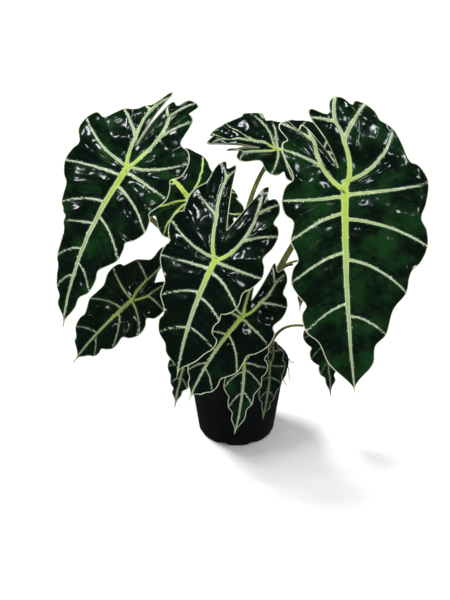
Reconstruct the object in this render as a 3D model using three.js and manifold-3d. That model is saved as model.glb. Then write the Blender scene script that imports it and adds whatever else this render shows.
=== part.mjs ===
// A potted alocasia: arrow-shaped leaves on arching stems, growing from three shoots
// in a black nursery pot. Millimetres, +Z up. The origin is the middle of the pot's
// flat underside and the front of the plant looks along -Y.
import * as THREE from "three";
import { mergeVertices } from "three/addons/utils/BufferGeometryUtils.js";
import Module from "manifold-3d";

const wasm = await Module();
wasm.setup();

// Pot
const potHeight = 91;
const rimRadius = 60;
const collarRadius = rimRadius - 1.5;
const collarHeight = 13;
const wallTopRadius = rimRadius - 5.5;
const footRadius = 0.733 * rimRadius;
const footBevel = 2;
const potWall = 1.8;
const potFloor = 2.6;
const drainCount = 8;
const drainWidth = 10;
const drainHeight = 3.2;
const potSides = 48;

// Soil
const soilDepthBelowRim = 11;
const clearance = 0.3;

// Shoots: the corm tops that the stems stand on
const cormHeight = 8;
const shootSpread = 0.49 * rimRadius;

// Leaves
const bladeThickness = 1.2;
const wideBladeSpokes = 40;
const smallBladeSpokes = 27;
const bladeRings = 3;
const veinFoldWidth = 6;
const stemSides = 8;
const stemSteps = 10;

// Dry sheaths and roots
const sheathThickness = 0.9;
const rootRadius = 0.8;

const soilTop = potHeight - soilDepthBelowRim;
const part = new THREE.Group();

function addPiece(name, geometry, color, roughness, metalness = 0) {
  const material = new THREE.MeshStandardMaterial({ color, roughness, metalness });
  const mesh = new THREE.Mesh(geometry, material);
  mesh.name = name;
  part.add(mesh);
  return mesh;
}

// Joins a list of triangle corners into one closed surface that faces outward.
function closedSurface(corners) {
  const loose = new THREE.BufferGeometry();
  loose.setAttribute("position", new THREE.Float32BufferAttribute(corners, 3));
  const joined = mergeVertices(loose, 1e-4);
  const spots = joined.attributes.position;
  const index = joined.index.array;
  const kept = [];
  let volume = 0;
  const a = new THREE.Vector3();
  const b = new THREE.Vector3();
  const c = new THREE.Vector3();
  for (let i = 0; i < index.length; i += 3) {
    const [p, q, r] = [index[i], index[i + 1], index[i + 2]];
    if (p === q || q === r || r === p) continue;
    kept.push(p, q, r);
    a.fromBufferAttribute(spots, p);
    b.fromBufferAttribute(spots, q);
    c.fromBufferAttribute(spots, r);
    volume += a.dot(b.cross(c)) / 6;
  }
  if (volume < 0) kept.reverse();
  joined.setIndex(kept);
  return joined;
}

function weld(geometry) {
  const loose = geometry.index ? geometry.toNonIndexed() : geometry;
  return closedSurface(Array.from(loose.attributes.position.array));
}

function toSolid(geometry) {
  return new wasm.Manifold(new wasm.Mesh({
    numProp: 3,
    vertProperties: new Float32Array(geometry.attributes.position.array),
    triVerts: new Uint32Array(geometry.index.array),
  }));
}

function fromSolid(solid) {
  const mesh = solid.getMesh();
  const geometry = new THREE.BufferGeometry();
  geometry.setAttribute("position", new THREE.BufferAttribute(mesh.vertProperties, 3));
  geometry.setIndex(new THREE.BufferAttribute(mesh.triVerts, 1));
  return geometry;
}

// A solid of revolution about Z from (radius, height) pairs.
function turned(profile, sides) {
  const points = profile.map(([radius, height]) => new THREE.Vector2(radius, height));
  const lathe = new THREE.LatheGeometry(points, sides);
  lathe.rotateX(Math.PI / 2);
  return weld(lathe);
}

// Radius of the outside of the straight wall at a height above the underside.
function wallRadius(height) {
  const share = height / (potHeight - collarHeight);
  return footRadius + (wallTopRadius - footRadius) * share;
}

function makePot() {
  const shoulder = potHeight - collarHeight;
  const outside = [
    [0, 0],
    [footRadius - footBevel, 0],
    [wallRadius(footBevel), footBevel],
    [wallTopRadius, shoulder],
    [collarRadius, shoulder + 1.5],
    [collarRadius + 0.4, potHeight - 3],
    [rimRadius, potHeight - 2.4],
    [rimRadius, potHeight],
  ];
  const inside = [
    [collarRadius - potWall + 0.4, potHeight],
    [collarRadius - potWall, shoulder + 2.6],
    [wallTopRadius - potWall, shoulder + 0.6],
    [wallRadius(potFloor) - potWall, potFloor],
    [0, potFloor],
  ];
  let pot = toSolid(turned([...outside, ...inside], potSides));
  for (let i = 0; i < drainCount; i += 1) {
    const notch = new THREE.BoxGeometry(16, drainWidth, 2 * drainHeight);
    notch.translate(footRadius, 0, 0);
    notch.rotateZ(((i + 0.55) / drainCount) * 2 * Math.PI);
    pot = pot.subtract(toSolid(weld(notch)));
  }
  return fromSolid(pot);
}

// The soil fills the pot clear of the wall all round. Its top is flat, with a sloping
// edge, and it keeps one width from just below the collar or its own sloping edge up.
function makeSoil() {
  const gap = potWall + clearance;
  const bottom = potFloor + clearance;
  const edgeDrop = 1.5;
  const widest = Math.min(potHeight - collarHeight, soilTop - edgeDrop) - 1;
  const radiusAt = (height) => wallRadius(height) - gap - 0.1;
  return turned([
    [0, bottom],
    [radiusAt(bottom) - 0.3, bottom],
    [radiusAt(drainHeight + 2), drainHeight + 2],
    [radiusAt(widest), widest],
    [radiusAt(widest), soilTop - edgeDrop],
    [radiusAt(widest) - 5, soilTop],
    [0, soilTop],
  ], potSides);
}

const shoots = [
  { name: "corm-main", x: 0, y: 0.3 * shootSpread, radius: 15, stemRing: 10.4 },
  { name: "corm-left", x: -0.87 * shootSpread, y: -0.52 * shootSpread, radius: 11.5, stemRing: 7.4 },
  { name: "corm-right", x: 0.82 * shootSpread, y: -0.58 * shootSpread, radius: 11, stemRing: 7 },
];

function makeCorm(shoot) {
  const low = soilTop + clearance;
  const corm = turned([
    [0, low],
    [shoot.radius * 0.9, low],
    [shoot.radius, low + cormHeight * 0.35],
    [shoot.radius * 0.96, low + cormHeight],
    [0, low + cormHeight],
  ], 20);
  corm.translate(shoot.x, shoot.y, 0);
  return corm;
}

// Points where the side veins of a small, evenly shaped leaf meet its edge: x out from the
// midrib as a share of the half width, y up from the hub as a share of the length.
const smallLeafVeins = [[0.24, 0.4], [0.8, 0.24], [1, -0.06], [0.84, -0.4], [0.46, -0.7]];

function evenEdge(shares, length, halfWidth, side) {
  return shares.map(([x, y]) => [side * x * halfWidth, y * length]);
}

// turn, out and rise place the hub, where the stem meets the blade: degrees about the
// pot, distance beyond the rim, height above it. toTip runs from the hub to the leaf's
// tip and face is the way its upper side looks. left and right list where the side
// veins reach the edge, from the lobe beside the notch down to the tip, in the blade's
// own x (to the right) and y (up the leaf). notch is the bottom of the gap between the
// lobes. lean and sweep bow the lobes and the midrib sideways. bow arches the midrib,
// back tips the lobes backward, fold closes the halves into a vee, drop rolls the edges
// down and ruffle waves them.
// In stem, shoot and seat give the shoot it stands on and the bearing of its foot there.
// base and top are its radii. leave is the way and strength with which it sets off from
// the foot; arrive and reach are the way and strength with which it comes to the hub.
const leaves = [
  {
    name: "left", turn: -163, out: 59, rise: 253, toTip: [-70, -45, -153], face: [-0.15, -0.85, 0.5],
    notch: [-3.3, 26], lean: 18, sweep: -8, bow: 9, back: 14, fold: 0.18, drop: 14, ruffle: 3,
    left: [
      [-11, 84], [-24, 65], [-39, 53], [-67, 28], [-62, -20], [-42, -60],
      [-31, -78], [-24, -114], [-15, -145],
    ],
    right: [[-6.5, 75], [13, 88], [27, 70], [53, 30], [53, -12], [52, -52], [39, -90], [21, -135]],
    stem: {
      shoot: 0, seat: 185, base: 4.2, top: 2.6,
      leave: [-10, 34, 150], arrive: [0.2, -0.5, 0.6], reach: 124,
    },
  },
  {
    name: "right", turn: -37, out: 72, rise: 249, toTip: [18, -32, -214], face: [0.1, -0.85, 0.5],
    notch: [-2.5, 22], lean: -35, sweep: -5, bow: 10, back: 14, fold: 0.18, drop: 14, ruffle: 3,
    left: [[-13, 62], [-34, 70], [-49, 46], [-64, -3], [-56, -44], [-57, -88], [-45, -143]],
    right: [[-3, 72], [36, 88], [58, 79], [68, 53], [87, -4], [86, -68], [62, -114], [38, -159]],
    stem: {
      shoot: 0, seat: 315, base: 4.4, top: 2.9,
      leave: [30, -5, 120], arrive: [0.5, -0.55, 0.67], reach: 75,
    },
  },
  {
    name: "centre", turn: -106, out: 27, rise: 172, toTip: [-39, -28, -115], face: [-0.05, -0.85, 0.5],
    notch: [0.5, 32], lean: 4, sweep: -4, bow: 7, back: 16, fold: 0.15, drop: 14, ruffle: 3,
    left: [[-16, 91], [-33, 92], [-48, 57], [-58, 22], [-54, -15], [-38, -53], [-28, -92]],
    right: [[18, 82], [40, 72], [52, 42], [52, -3], [41, -40], [29, -58], [31, -89]],
    stem: {
      shoot: 0, seat: 250, base: 3.9, top: 2.5,
      leave: [-4, -8, 130], arrive: [-0.1, -0.85, 0.2], reach: 58,
    },
  },
  {
    name: "front", turn: -85, out: 6, rise: 96, toTip: [-56, -22, -86], face: [-0.05, -0.85, 0.5],
    notch: [-1, 18], lean: -10, sweep: -4, bow: 6, back: 8, fold: 0.15, drop: 8, ruffle: 2.5,
    left: [[-12, 60], [-30, 50], [-44, 20], [-42, -12], [-31, -46], [-15, -84]],
    right: [[5, 60], [23, 60], [37, 32], [42, -12], [32, -55], [19, -89]],
    stem: {
      shoot: 1, seat: 330, base: 3.2, top: 2,
      leave: [4, -4, 45], arrive: [0.1, -0.75, 0.5], reach: 34,
    },
  },
  {
    name: "low-left", turn: -165, out: 59, rise: 96, toTip: [-60, -28, -55], face: [-0.2, -0.8, 0.6],
    notch: [0.5, 30], lean: 0, sweep: 0, bow: 7, back: 10, fold: 0.15, drop: 9, ruffle: 2.5,
    left: [[-15, 66], [-34, 34], [-45, 10], [-35, -32], [-24, -65]],
    right: [[14, 49], [32, 16], [34, -21], [24, -52], [14, -73]],
    stem: {
      shoot: 1, seat: 180, base: 3.3, top: 2,
      leave: [-12, 0, 95], arrive: [-0.75, -0.4, 0.3], reach: 42,
    },
  },
  {
    name: "back-left", turn: 164, out: -7, rise: 195, toTip: [-70, 105, 25], face: [0, -0.35, 0.93],
    notch: [0, 28], lean: 0, sweep: 0, bow: 7, back: 6, fold: 0.2, drop: 9, ruffle: 3.5,
    left: [[-14, 57], [-42, 42], [-50, 15], [-49, -51], [-35, -84], [-17, -112]],
    right: [[14, 57], [36, 45], [50, 24], [55, -14], [49, -52], [34, -84], [16, -112]],
    stem: {
      shoot: 0, seat: 118, base: 3.7, top: 2.4,
      leave: [-6, 10, 90], arrive: [-0.1, 0, 1], reach: 50,
    },
  },
  {
    name: "top", turn: 39, out: -4, rise: 245, toTip: [130, 25, -30], face: [0, -0.4, 0.92],
    notch: [2.6, 20], lean: 0, sweep: 0, bow: 6, back: 4, fold: 0.2, drop: 8, ruffle: 3,
    left: [[5, 51], [-14, 42], [-37, 11], [-47, -12], [-44, -48], [-33, -84], [-17, -117]],
    right: [[12, 71], [27, 69], [41, 53], [57, 25], [45, 2], [47, -38], [36, -78], [19, -115]],
    stem: {
      shoot: 0, seat: 58, base: 3.8, top: 2.4,
      leave: [-7, 4, 150], arrive: [0.6, 0, 0.8], reach: 60,
    },
  },
  {
    name: "small-front", turn: -84, out: 12, rise: 43, toTip: [-9, -8, -84], face: [0, -0.9, 0.3],
    notch: [0, 14], lean: 0, sweep: 2, bow: 3, back: 4, fold: 0.15, drop: 4, ruffle: 1,
    left: [[-7, 30], [-20, 22], [-27, -2], [-21, -34], [-13, -58]],
    right: [[9, 30], [24, 18], [26, -6], [20, -28], [12, -52]],
    stem: {
      shoot: 2, seat: 250, base: 2.4, top: 1.4,
      leave: [-1, -4, 30], arrive: [0, -0.8, 0.3], reach: 24,
    },
  },
  {
    name: "small-right", turn: -60, out: 12, rise: 33, toTip: [-6, -12, -57], face: [0.3, -0.9, 0.3],
    notch: [0, 12], lean: 0, sweep: 0, bow: 3, back: 3, fold: 0.15, drop: 4, ruffle: 1,
    even: smallLeafVeins, halfWidth: 19,
    stem: {
      shoot: 2, seat: 315, base: 2.2, top: 1.3,
      leave: [3, -3, 28], arrive: [0.2, -0.8, 0.3], reach: 18,
    },
  },
  {
    name: "small-left", turn: -133, out: 19, rise: 46, toTip: [-14, -18, -52], face: [-0.3, -0.85, 0.4],
    notch: [0, 12], lean: 0, sweep: 0, bow: 3, back: 3, fold: 0.15, drop: 4, ruffle: 1,
    even: smallLeafVeins, halfWidth: 22,
    stem: {
      shoot: 1, seat: 240, base: 2.3, top: 1.4,
      leave: [-2, -3, 30], arrive: [-0.3, -0.8, 0.3], reach: 24,
    },
  },
  {
    name: "far-right", turn: -3, out: 36, rise: 44, toTip: [13, -7, -78], face: [0.3, -0.85, 0.4],
    notch: [0, 13], lean: 0, sweep: 0, bow: 4, back: 4, fold: 0.15, drop: 4, ruffle: 1.5,
    even: smallLeafVeins, halfWidth: 23,
    stem: {
      shoot: 2, seat: 0, base: 2.3, top: 1.3,
      leave: [8, 0, 68], arrive: [0.85, -0.3, 0], reach: 34,
    },
  },
  {
    name: "young", turn: 0, out: 22, rise: 127, toTip: [-12, -8, -50], face: [-0.5, -0.8, 0.2],
    notch: [0, 10], lean: 0, sweep: 0, bow: 4, back: 3, fold: 0.4, drop: 1, ruffle: 0.8,
    even: smallLeafVeins, halfWidth: 15,
    stem: {
      shoot: 0, seat: 5, base: 2.3, top: 1.3,
      leave: [13, 0, 110], arrive: [0.8, -0.6, 0.1], reach: 36,
    },
  },
];

const dripLength = 9;
const edgeScallop = 0.11;
const edgeRounding = 0.2;

// Fills in each leaf's own axes and its edge curves.
function layOut(leaf) {
  const turn = THREE.MathUtils.degToRad(leaf.turn);
  const reach = rimRadius + leaf.out;
  leaf.hub = new THREE.Vector3(
    Math.cos(turn) * reach,
    Math.sin(turn) * reach,
    potHeight + leaf.rise,
  );
  const toTip = new THREE.Vector3(...leaf.toTip);
  leaf.length = toTip.length();
  leaf.upLeaf = toTip.clone().normalize().negate();
  leaf.normal = new THREE.Vector3(...leaf.face);
  leaf.normal.addScaledVector(leaf.upLeaf, -leaf.normal.dot(leaf.upLeaf)).normalize();
  leaf.across = new THREE.Vector3().crossVectors(leaf.upLeaf, leaf.normal);
  if (leaf.even) {
    leaf.left = evenEdge(leaf.even, leaf.length, leaf.halfWidth, -1);
    leaf.right = evenEdge(leaf.even, leaf.length, leaf.halfWidth, 1);
  }
  const both = [...leaf.left, ...leaf.right];
  leaf.reachOut = Math.max(...both.map(([x]) => Math.abs(x)));
  leaf.lobeTop = Math.max(...both.map(([, y]) => y));
  leaf.edges = [edgeCurve(leaf, leaf.left), edgeCurve(leaf, leaf.right)];
}

// One side of the leaf's edge, from the notch round the lobe and down to the drip tip.
// It swells in a round bump at each vein's end and dips between veins; z holds the vein
// count.
function edgeCurve(leaf, veinEnds) {
  const flat = ([x, y]) => new THREE.Vector2(x, y);
  const notch = flat(leaf.notch);
  const ends = veinEnds.map(flat);
  const points = [];
  const mark = (spot, count) => points.push(new THREE.Vector3(spot.x, spot.y, count));
  const inwardAt = (spot) => new THREE.Vector2(0, Math.min(spot.y, 0) * 0.7).sub(spot).normalize();
  mark(notch, -1);
  ends.forEach((end, i) => {
    const before = ends[i - 1] ?? notch;
    const after = ends[i + 1] ?? new THREE.Vector2(0, -leaf.length);
    const heading = after.clone().sub(before).normalize();
    const reach = edgeRounding * Math.min(end.distanceTo(before), end.distanceTo(after));
    const sunk = end.clone().addScaledVector(inwardAt(end), 0.3 * reach);
    const backward = i > 0 ? heading.clone().negate() : notch.clone().sub(end).normalize();
    const flank = sunk.clone().addScaledVector(backward, reach);
    if (i === 0) mark(notch.clone().lerp(flank, 0.5), -0.5);
    mark(flank, i - 0.18);
    mark(end, i);
    mark(sunk.clone().addScaledVector(heading, reach), i + 0.18);
    if (i + 1 === ends.length) return;
    const middle = end.clone().lerp(after, 0.5);
    middle.addScaledVector(inwardAt(middle), end.distanceTo(after) * edgeScallop);
    mark(middle, i + 0.5);
  });
  const count = veinEnds.length;
  const last = veinEnds[count - 1];
  const side = Math.sign(last[0]);
  const outward = 0.04 * Math.hypot(last[0], last[1] + leaf.length);
  points.push(new THREE.Vector3(last[0] / 2 + side * outward, (last[1] - leaf.length) / 2, count - 0.5));
  points.push(new THREE.Vector3(side * 1.6, -leaf.length, count));
  points.push(new THREE.Vector3(0, -leaf.length - dripLength, count));
  return new THREE.CatmullRomCurve3(points, false, "centripetal");
}

// The edge's own points, with more put in the widest gaps until there are count steps.
function edgeSpots(edge, count) {
  const marks = edge.points.map((_, i) => i / (edge.points.length - 1));
  while (marks.length < count + 1) {
    const spots = marks.map((mark) => edge.getPoint(mark));
    let widest = 0;
    let gap = 0;
    for (let i = 0; i + 1 < spots.length; i += 1) {
      const step = Math.hypot(spots[i + 1].x - spots[i].x, spots[i + 1].y - spots[i].y);
      if (step <= gap) continue;
      gap = step;
      widest = i;
    }
    marks.splice(widest + 1, 0, (marks[widest] + marks[widest + 1]) / 2);
  }
  return marks.map((mark) => edge.getPoint(mark));
}

// A point of the blade's upper side in space, lowered by depth.
function bladePoint(leaf, x, y, edgeShare, veinCount, depth) {
  const t = Math.min(Math.max(-y / leaf.length, 0), 1.2);
  const hump = 4 * t * (1 - t);
  const lobe = (Math.max(y, 0) / leaf.lobeTop) ** 2;
  const sideways = leaf.sweep * hump + leaf.lean * lobe;
  const along = y < 0 ? leaf.bow * hump : (-4 * leaf.bow / leaf.length) * y - leaf.back * lobe;
  const vee = leaf.fold * (Math.hypot(x, veinFoldWidth) - veinFoldWidth);
  const roll = leaf.drop * (x / leaf.reachOut) ** 2;
  const wave = leaf.ruffle * edgeShare ** 3 * Math.cos(2 * Math.PI * veinCount);
  const height = along + vee - roll - wave - depth;
  return leaf.hub.clone()
    .addScaledVector(leaf.across, x + sideways)
    .addScaledVector(leaf.upLeaf, y)
    .addScaledVector(leaf.normal, height);
}

function makeBlade(leaf) {
  const spokes = leaf.length > 90 || leaf.bow > 6 ? wideBladeSpokes : smallBladeSpokes;
  // The lines of the mesh leave the midrib and run out to the edge as the veins do.
  const ends = leaf.edges.map((edge) => edgeSpots(edge, spokes));
  const starts = [];
  for (let i = 0; i <= spokes; i += 1) {
    const heights = ends.map((side) => side[i].y + 0.35 * Math.abs(side[i].x));
    const height = Math.min(0, (heights[0] + heights[1]) / 2);
    starts.push(Math.min(height, i > 0 ? starts[i - 1] : 0));
  }
  starts[spokes] = -leaf.length - dripLength;
  const grid = (side, i, j, depth) => {
    const share = j / bladeRings;
    const end = ends[side][i];
    const x = end.x * share;
    const y = starts[i] + (end.y - starts[i]) * share;
    return bladePoint(leaf, x, y, share, end.z, depth);
  };
  const corners = [];
  const face = (...points) => points.forEach((p) => corners.push(p.x, p.y, p.z));
  const quad = (a, b, c, d) => {
    face(a, b, c);
    face(a, c, d);
  };
  for (let side = 0; side < 2; side += 1) {
    for (let i = 0; i < spokes; i += 1) {
      for (let j = 0; j < bladeRings; j += 1) {
        for (const depth of [0, bladeThickness]) {
          const loop = [
            grid(side, i, j, depth),
            grid(side, i, j + 1, depth),
            grid(side, i + 1, j + 1, depth),
            grid(side, i + 1, j, depth),
          ];
          if ((side === 0) !== (depth > 0)) loop.reverse();
          quad(...loop);
        }
      }
      const wall = [
        grid(side, i, bladeRings, 0),
        grid(side, i, bladeRings, bladeThickness),
        grid(side, i + 1, bladeRings, bladeThickness),
        grid(side, i + 1, bladeRings, 0),
      ];
      if (side === 0) wall.reverse();
      quad(...wall);
    }
  }
  return closedSurface(corners);
}

// Closed tube through rings of points.
function tubeThrough(rings) {
  const corners = [];
  const face = (...points) => points.forEach((p) => corners.push(p.x, p.y, p.z));
  const sides = rings[0].length;
  const centreOf = (ring) => {
    const sum = new THREE.Vector3();
    ring.forEach((p) => sum.add(p));
    return sum.divideScalar(sides);
  };
  const first = rings[0];
  const last = rings[rings.length - 1];
  const firstCentre = centreOf(first);
  const lastCentre = centreOf(last);
  for (let k = 0; k < sides; k += 1) {
    const m = (k + 1) % sides;
    face(firstCentre, first[m], first[k]);
    face(lastCentre, last[k], last[m]);
    for (let i = 0; i + 1 < rings.length; i += 1) {
      face(rings[i][k], rings[i][m], rings[i + 1][m]);
      face(rings[i][k], rings[i + 1][m], rings[i + 1][k]);
    }
  }
  return closedSurface(corners);
}

// Axes across a curve, carried along it without twisting.
function framesAlong(curve, steps, startAcross) {
  const frames = [];
  let across = startAcross.clone();
  for (let i = 0; i <= steps; i += 1) {
    const t = i / steps;
    const heading = curve.getTangent(t);
    across = across.clone().addScaledVector(heading, -across.dot(heading)).normalize();
    const other = new THREE.Vector3().crossVectors(heading, across);
    frames.push({ t, spot: curve.getPoint(t), heading, across, other });
  }
  return frames;
}

function stemCurve(leaf) {
  const { seat, leave, reach } = leaf.stem;
  const shoot = shoots[leaf.stem.shoot];
  const angle = THREE.MathUtils.degToRad(seat);
  const foot = new THREE.Vector3(
    shoot.x + Math.cos(angle) * shoot.stemRing,
    shoot.y + Math.sin(angle) * shoot.stemRing,
    soilTop + cormHeight + 2 * clearance,
  );
  const arrive = new THREE.Vector3(...leaf.stem.arrive).normalize();
  const top = leaf.hub.clone().addScaledVector(leaf.normal, -bladeThickness - clearance);
  const low = foot.clone().add(new THREE.Vector3(...leave));
  const high = top.clone().addScaledVector(arrive, -reach);
  return new THREE.CubicBezierCurve3(foot, low, high, top);
}

// A stem tapers from its foot on the shoot to the hub.
function stemRadius(leaf, t) {
  const { base, top } = leaf.stem;
  return top + (base - top) * (1 - t) ** 1.5;
}

function makeStem(leaf) {
  const curve = stemCurve(leaf);
  const frames = framesAlong(curve, stemSteps, new THREE.Vector3(1, 0, 0));
  const rings = frames.map((frame) => {
    const radius = stemRadius(leaf, frame.t);
    const ring = [];
    for (let k = 0; k < stemSides; k += 1) {
      const angle = (k / stemSides) * 2 * Math.PI;
      ring.push(frame.spot.clone()
        .addScaledVector(frame.across, Math.cos(angle) * radius)
        .addScaledVector(frame.other, Math.sin(angle) * radius));
    }
    return ring;
  });
  // The first ring stands flat on the shoot and the last lies against the blade's underside.
  rings[0].forEach((spot) => {
    spot.z = curve.v0.z;
  });
  const slope = (-4 * leaf.bow) / leaf.length;
  const seatAxis = leaf.upLeaf.clone().addScaledVector(leaf.normal, slope);
  const end = frames[stemSteps].spot;
  rings[stemSteps] = rings[stemSteps].map((spot) => {
    const offset = spot.clone().sub(end);
    return end.clone()
      .addScaledVector(leaf.across, offset.dot(leaf.across))
      .addScaledVector(seatAxis, offset.dot(leaf.upLeaf));
  });
  return tubeThrough(rings);
}

// A dry sheath wraps part of the way round a stem, between two shares of its length.
function makeSheath(leaf, from, to, wrap) {
  const curve = stemCurve(leaf);
  const frames = framesAlong(curve, stemSteps * 4, new THREE.Vector3(1, 0, 0));
  const first = Math.round(from * stemSteps * 4);
  const last = Math.round(to * stemSteps * 4);
  const arcSteps = 7;
  const rings = [];
  for (let i = first; i <= last; i += 2) {
    const frame = frames[i];
    const share = (i - first) / (last - first);
    const inner = stemRadius(leaf, frame.t) + clearance + 0.4;
    const half = wrap * (1 - 0.7 * share ** 2);
    const ring = [];
    const spotAt = (radius, angle) => frame.spot.clone()
      .addScaledVector(frame.across, Math.cos(angle) * radius)
      .addScaledVector(frame.other, Math.sin(angle) * radius);
    for (let k = 0; k <= arcSteps; k += 1) {
      ring.push(spotAt(inner + sheathThickness, half * (2 * k / arcSteps - 1)));
    }
    for (let k = arcSteps; k >= 0; k -= 1) {
      ring.push(spotAt(inner, half * (2 * k / arcSteps - 1)));
    }
    rings.push(ring);
  }
  return curvedStrip(rings, arcSteps);
}

// Closed strip through C-shaped rings: the outer arc, then the inner arc back again.
function curvedStrip(rings, arcSteps) {
  const corners = [];
  const face = (...points) => points.forEach((p) => corners.push(p.x, p.y, p.z));
  const count = rings[0].length;
  for (let i = 0; i + 1 < rings.length; i += 1) {
    for (let k = 0; k < count; k += 1) {
      const m = (k + 1) % count;
      face(rings[i][k], rings[i][m], rings[i + 1][m]);
      face(rings[i][k], rings[i + 1][m], rings[i + 1][k]);
    }
  }
  const first = rings[0];
  const last = rings[rings.length - 1];
  for (let k = 0; k < arcSteps; k += 1) {
    const outer = [k, k + 1];
    const inner = [count - 1 - k, count - 2 - k];
    face(first[outer[0]], first[inner[0]], first[inner[1]]);
    face(first[outer[0]], first[inner[1]], first[outer[1]]);
    face(last[outer[0]], last[inner[1]], last[inner[0]]);
    face(last[outer[0]], last[outer[1]], last[inner[1]]);
  }
  return closedSurface(corners);
}

// A wiry root runs out of the soil, over the rim and down the outside of the pot.
// inward is how far inside the rim it starts, hang how far it drops below the rim and
// stray how far its end stands off.
function makeRoot(turn, inward, hang, stray) {
  const over = rootRadius + clearance + 0.2;
  const insideRim = collarRadius - potWall;
  const spots = [
    [insideRim - inward, soilTop + over, -6],
    [insideRim - 4, soilTop + over + 1.5, -2],
    [insideRim - over - 0.4, potHeight - 2, 1],
    [insideRim + 0.2, potHeight + over + 0.6, 1],
    [rimRadius - 0.4, potHeight + over + 0.6, 0],
    [rimRadius + over + 0.5, potHeight - 1.5, -1],
    [rimRadius + over + 0.3 + 0.4 * stray, potHeight - 0.55 * hang, 1],
    [rimRadius + over + stray, potHeight - hang, 4],
  ];
  const curve = new THREE.CatmullRomCurve3(spots.map(([radius, height, drift]) => {
    const angle = THREE.MathUtils.degToRad(turn + drift);
    return new THREE.Vector3(Math.cos(angle) * radius, Math.sin(angle) * radius, height);
  }), false, "centripetal");
  const frames = framesAlong(curve, 16, new THREE.Vector3(0, 0, 1));
  return tubeThrough(frames.map((frame) => {
    const radius = rootRadius * (1 - 0.45 * frame.t);
    const ring = [];
    for (let k = 0; k < 6; k += 1) {
      const angle = (k / 6) * 2 * Math.PI;
      ring.push(frame.spot.clone()
        .addScaledVector(frame.across, Math.cos(angle) * radius)
        .addScaledVector(frame.other, Math.sin(angle) * radius));
    }
    return ring;
  }));
}

const roots = [
  { name: "root-right", turn: -16, inward: 10.7, hang: 20, stray: 0.5 },
  { name: "root-front-right", turn: -33, inward: 12.7, hang: 15, stray: 3 },
  { name: "root-stray", turn: -2, inward: 9.7, hang: 6, stray: 5 },
];

leaves.forEach(layOut);
const leafNamed = (name) => leaves.find((leaf) => leaf.name === name);

addPiece("pot", makePot(), 0x17191b, 0.42);
addPiece("soil", makeSoil(), 0x2a1d15, 0.95);
shoots.forEach((shoot) => addPiece(shoot.name, makeCorm(shoot), 0x4a3626, 0.85));
leaves.forEach((leaf) => {
  addPiece(`blade-${leaf.name}`, makeBlade(leaf), 0x12281a, 0.25);
  addPiece(`stem-${leaf.name}`, makeStem(leaf), 0x5f7430, 0.45);
});

addPiece("sheath-right", makeSheath(leafNamed("right"), 0.1, 0.42, 2.1), 0x7a5a3c, 0.85);
addPiece("sheath-centre", makeSheath(leafNamed("centre"), 0.08, 0.35, 1.8), 0x6d5138, 0.85);
addPiece("sheath-young", makeSheath(leafNamed("young"), 0.5, 0.75, 1.5), 0x5b3f2b, 0.85);
roots.forEach(({ name, turn, inward, hang, stray }) => {
  addPiece(name, makeRoot(turn, inward, hang, stray), 0x3b291c, 0.9);
});

export default part;
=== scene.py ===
# A potted alocasia: glossy arrow-shaped leaves with pale veins in a black nursery pot.
import math
import bpy
import numpy as np
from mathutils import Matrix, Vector


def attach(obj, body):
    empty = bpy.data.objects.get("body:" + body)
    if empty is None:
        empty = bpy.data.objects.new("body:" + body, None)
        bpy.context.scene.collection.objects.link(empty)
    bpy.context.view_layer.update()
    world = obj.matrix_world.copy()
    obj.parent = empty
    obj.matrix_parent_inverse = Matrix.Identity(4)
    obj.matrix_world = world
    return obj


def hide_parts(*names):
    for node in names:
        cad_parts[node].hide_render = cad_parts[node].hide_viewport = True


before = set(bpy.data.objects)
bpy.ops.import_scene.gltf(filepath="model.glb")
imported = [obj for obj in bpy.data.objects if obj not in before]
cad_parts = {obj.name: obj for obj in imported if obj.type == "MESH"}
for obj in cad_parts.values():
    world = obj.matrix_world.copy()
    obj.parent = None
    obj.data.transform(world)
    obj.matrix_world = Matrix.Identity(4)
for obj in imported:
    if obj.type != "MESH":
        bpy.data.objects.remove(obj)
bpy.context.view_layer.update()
mm = 0.001
scene = bpy.context.scene


def clearSelection():
    if bpy.context.object and bpy.context.object.mode != "OBJECT":
        bpy.ops.object.mode_set(mode="OBJECT")
    bpy.ops.object.select_all(action="DESELECT")


def pickOnly(piece):
    clearSelection()
    piece.select_set(True)
    bpy.context.view_layer.objects.active = piece


def editAll():
    bpy.ops.object.mode_set(mode="EDIT")
    bpy.ops.mesh.select_all(action="SELECT")


def faceOutward():
    bpy.ops.mesh.select_all(action="SELECT")
    bpy.ops.mesh.normals_make_consistent(inside=False)
    bpy.ops.object.mode_set(mode="OBJECT")


def bakePlace(piece):
    pickOnly(piece)
    bpy.ops.object.transform_apply(location=True, rotation=True, scale=True)


def applyModifiers(piece):
    pickOnly(piece)
    for modifier in list(piece.modifiers):
        bpy.ops.object.modifier_apply(modifier=modifier.name)


def standFor(piece, slotName, *nodes):
    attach(piece, "root")
    if nodes:
        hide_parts(*nodes)


def newMaterial(name):
    material = bpy.data.materials.new(name)
    material.use_nodes = True
    tree = material.node_tree
    shader = tree.nodes["Principled BSDF"]
    return material, tree, shader


def addNode(tree, kind, **settings):
    node = tree.nodes.new(kind)
    for key, value in settings.items():
        setattr(node, key, value)
    return node


def sumOf(tree, first, second, operation="ADD"):
    node = addNode(tree, "ShaderNodeMath", operation=operation)
    for socket, value in zip(node.inputs, (first, second)):
        if isinstance(value, (int, float)):
            socket.default_value = value
        else:
            tree.links.new(value, socket)
    return node.outputs[0]


# Maps low..high to toLow..toHigh and holds it there beyond.
def remap(tree, value, low, high, toLow=0.0, toHigh=1.0, smooth=True):
    node = addNode(tree, "ShaderNodeMapRange")
    node.interpolation_type = "SMOOTHSTEP" if smooth else "LINEAR"
    tree.links.new(value, node.inputs[0])
    for index, number in zip((1, 2, 3, 4), (low, high, toLow, toHigh)):
        node.inputs[index].default_value = number
    return node.outputs[0]


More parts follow.
